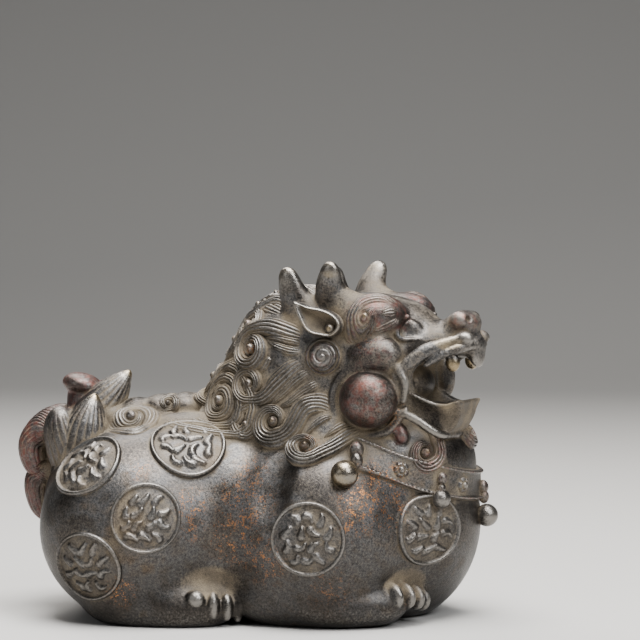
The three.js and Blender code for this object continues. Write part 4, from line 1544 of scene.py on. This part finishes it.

# %% [markdown]
# ## Patinated bronze
# The metal is a dark grey brown bronze with a fine sandy skin from its mould, brighter on its ridges,
# and painted darker towards the foot, as shade. Over it lie, in this order, worn red lacquer, tan dust in the
# hollows, copper specks, and bare yellow metal where it is rubbed. Each layer is a mix by its painted number,
# which noise breaks up, as no real layer ends in a smooth line.

# %% Patinated bronze
# The first colour is painted shade: a near black that is mixed in towards the foot.
FOOT_SHADE, BRIGHT, COPPER, BRASS = (
    (0.020, 0.018, 0.016, 1), (0.24, 0.225, 0.205, 1), (0.34, 0.150, 0.055, 1), (0.32, 0.245, 0.135, 1),
)
METAL_LEVELS = (
    (0.36, (0.038, 0.035, 0.034)), (0.47, (0.070, 0.063, 0.057)),
    (0.55, (0.088, 0.087, 0.088)), (0.68, (0.096, 0.074, 0.054)),
)
SPECK_LEVELS = ((0.38, (0.42, 0.41, 0.40)), (0.50, (1.0, 1.0, 1.0)), (0.62, (1.75, 1.64, 1.5)))
LACQUER_LEVELS = ((0.36, (0.030, 0.012, 0.010)), (0.52, (0.100, 0.022, 0.015)), (0.66, (0.170, 0.045, 0.026)))
DUST_LEVELS = ((0.36, (0.050, 0.038, 0.024)), (0.50, (0.120, 0.092, 0.058)), (0.62, (0.200, 0.160, 0.105)))
BUMP_HEIGHT = 0.00016


def bronze():
    """The whole material: masks first, then colour, metal, roughness and relief, layer by layer."""
    w = Wiring("patinated_bronze")
    cloud, patch, grain, sand = w.noise(16, 4), w.noise(3.4, 5), w.noise(0.42, 3, 0.6), w.noise(0.16, 2, 0.6)
    specks = w.plus(w.times(w.noise(0.30, 2), 0.7), w.times(w.noise(1.3, 3), 0.5))
    copper = w.times(w.span(w.paint("copper"), 0.05, 0.7), w.span(specks, 0.64, 0.74), True)
    dust = w.span(w.frayed(w.frayed(w.paint("dust"), patch, 0.8), grain, 0.8), 0.20, 1.0)
    red = w.span(w.frayed(w.paint("red"), w.noise(1.1, 4, 0.65), 1.6), 0.25, 0.95)
    brass = w.span(w.frayed(w.paint("brass"), patch, 0.9), 0.30, 0.95)
    polish = w.span(w.frayed(w.paint("polish"), grain, 0.8), 0.10, 0.80)

    metal = w.levels(w.mean(cloud, patch, 0.4), METAL_LEVELS)
    metal = w.blend(1.0, metal, w.levels(w.mean(grain, sand), SPECK_LEVELS), "MULTIPLY")
    height_above = w.node("ShaderNodeSeparateXYZ", {0: w.place}).outputs[2]
    # Painted shade: the metal darkens towards the foot, most at the ground and not at all above 24 mm.
    shaded_low = w.blend(w.span(height_above, 0.001, 0.024, 0.62, 0.0), metal, FOOT_SHADE)
    colour = w.blend(w.times(polish, 0.7), shaded_low, BRIGHT)
    colour = w.blend(w.times(red, 0.80), colour, w.levels(patch, LACQUER_LEVELS))
    colour = w.blend(w.times(dust, 0.85), colour, w.levels(w.mean(patch, sand), DUST_LEVELS))
    colour = w.blend(brass, w.blend(copper, colour, COPPER), BRASS)

    metallic = w.less(w.less(0.95, w.times(dust, 0.85)), w.times(red, 0.35), True)
    metallic = w.maths("MAXIMUM", metallic, w.maths("MAXIMUM", brass, copper))
    rough = w.frayed(w.span(patch, 0.3, 0.7, 0.34, 0.48), sand, 0.35)
    rough = w.plus(w.less(rough, w.times(polish, 0.10)), w.times(dust, 0.40))
    rough = w.less(rough, w.times(brass, 0.16), True)

    height = w.plus(w.plus(w.times(grain, 0.55), w.times(sand, 0.30)), w.times(patch, 0.7))
    strength = w.less(0.55, w.times(brass, 0.35))
    bump = w.node("ShaderNodeBump", {"Strength": strength, "Distance": BUMP_HEIGHT, "Height": height})
    links = {"Base Color": colour, "Metallic": metallic, "Roughness": rough, "Normal": bump.outputs[0]}
    for key, value in links.items():
        w.tree.links.new(value, w.shader.inputs[key])
    return w.material


finish = bronze()
for piece, *_ in made.values():
    piece.data.materials.append(finish)
print("nodes in the bronze:", len(finish.node_tree.nodes))
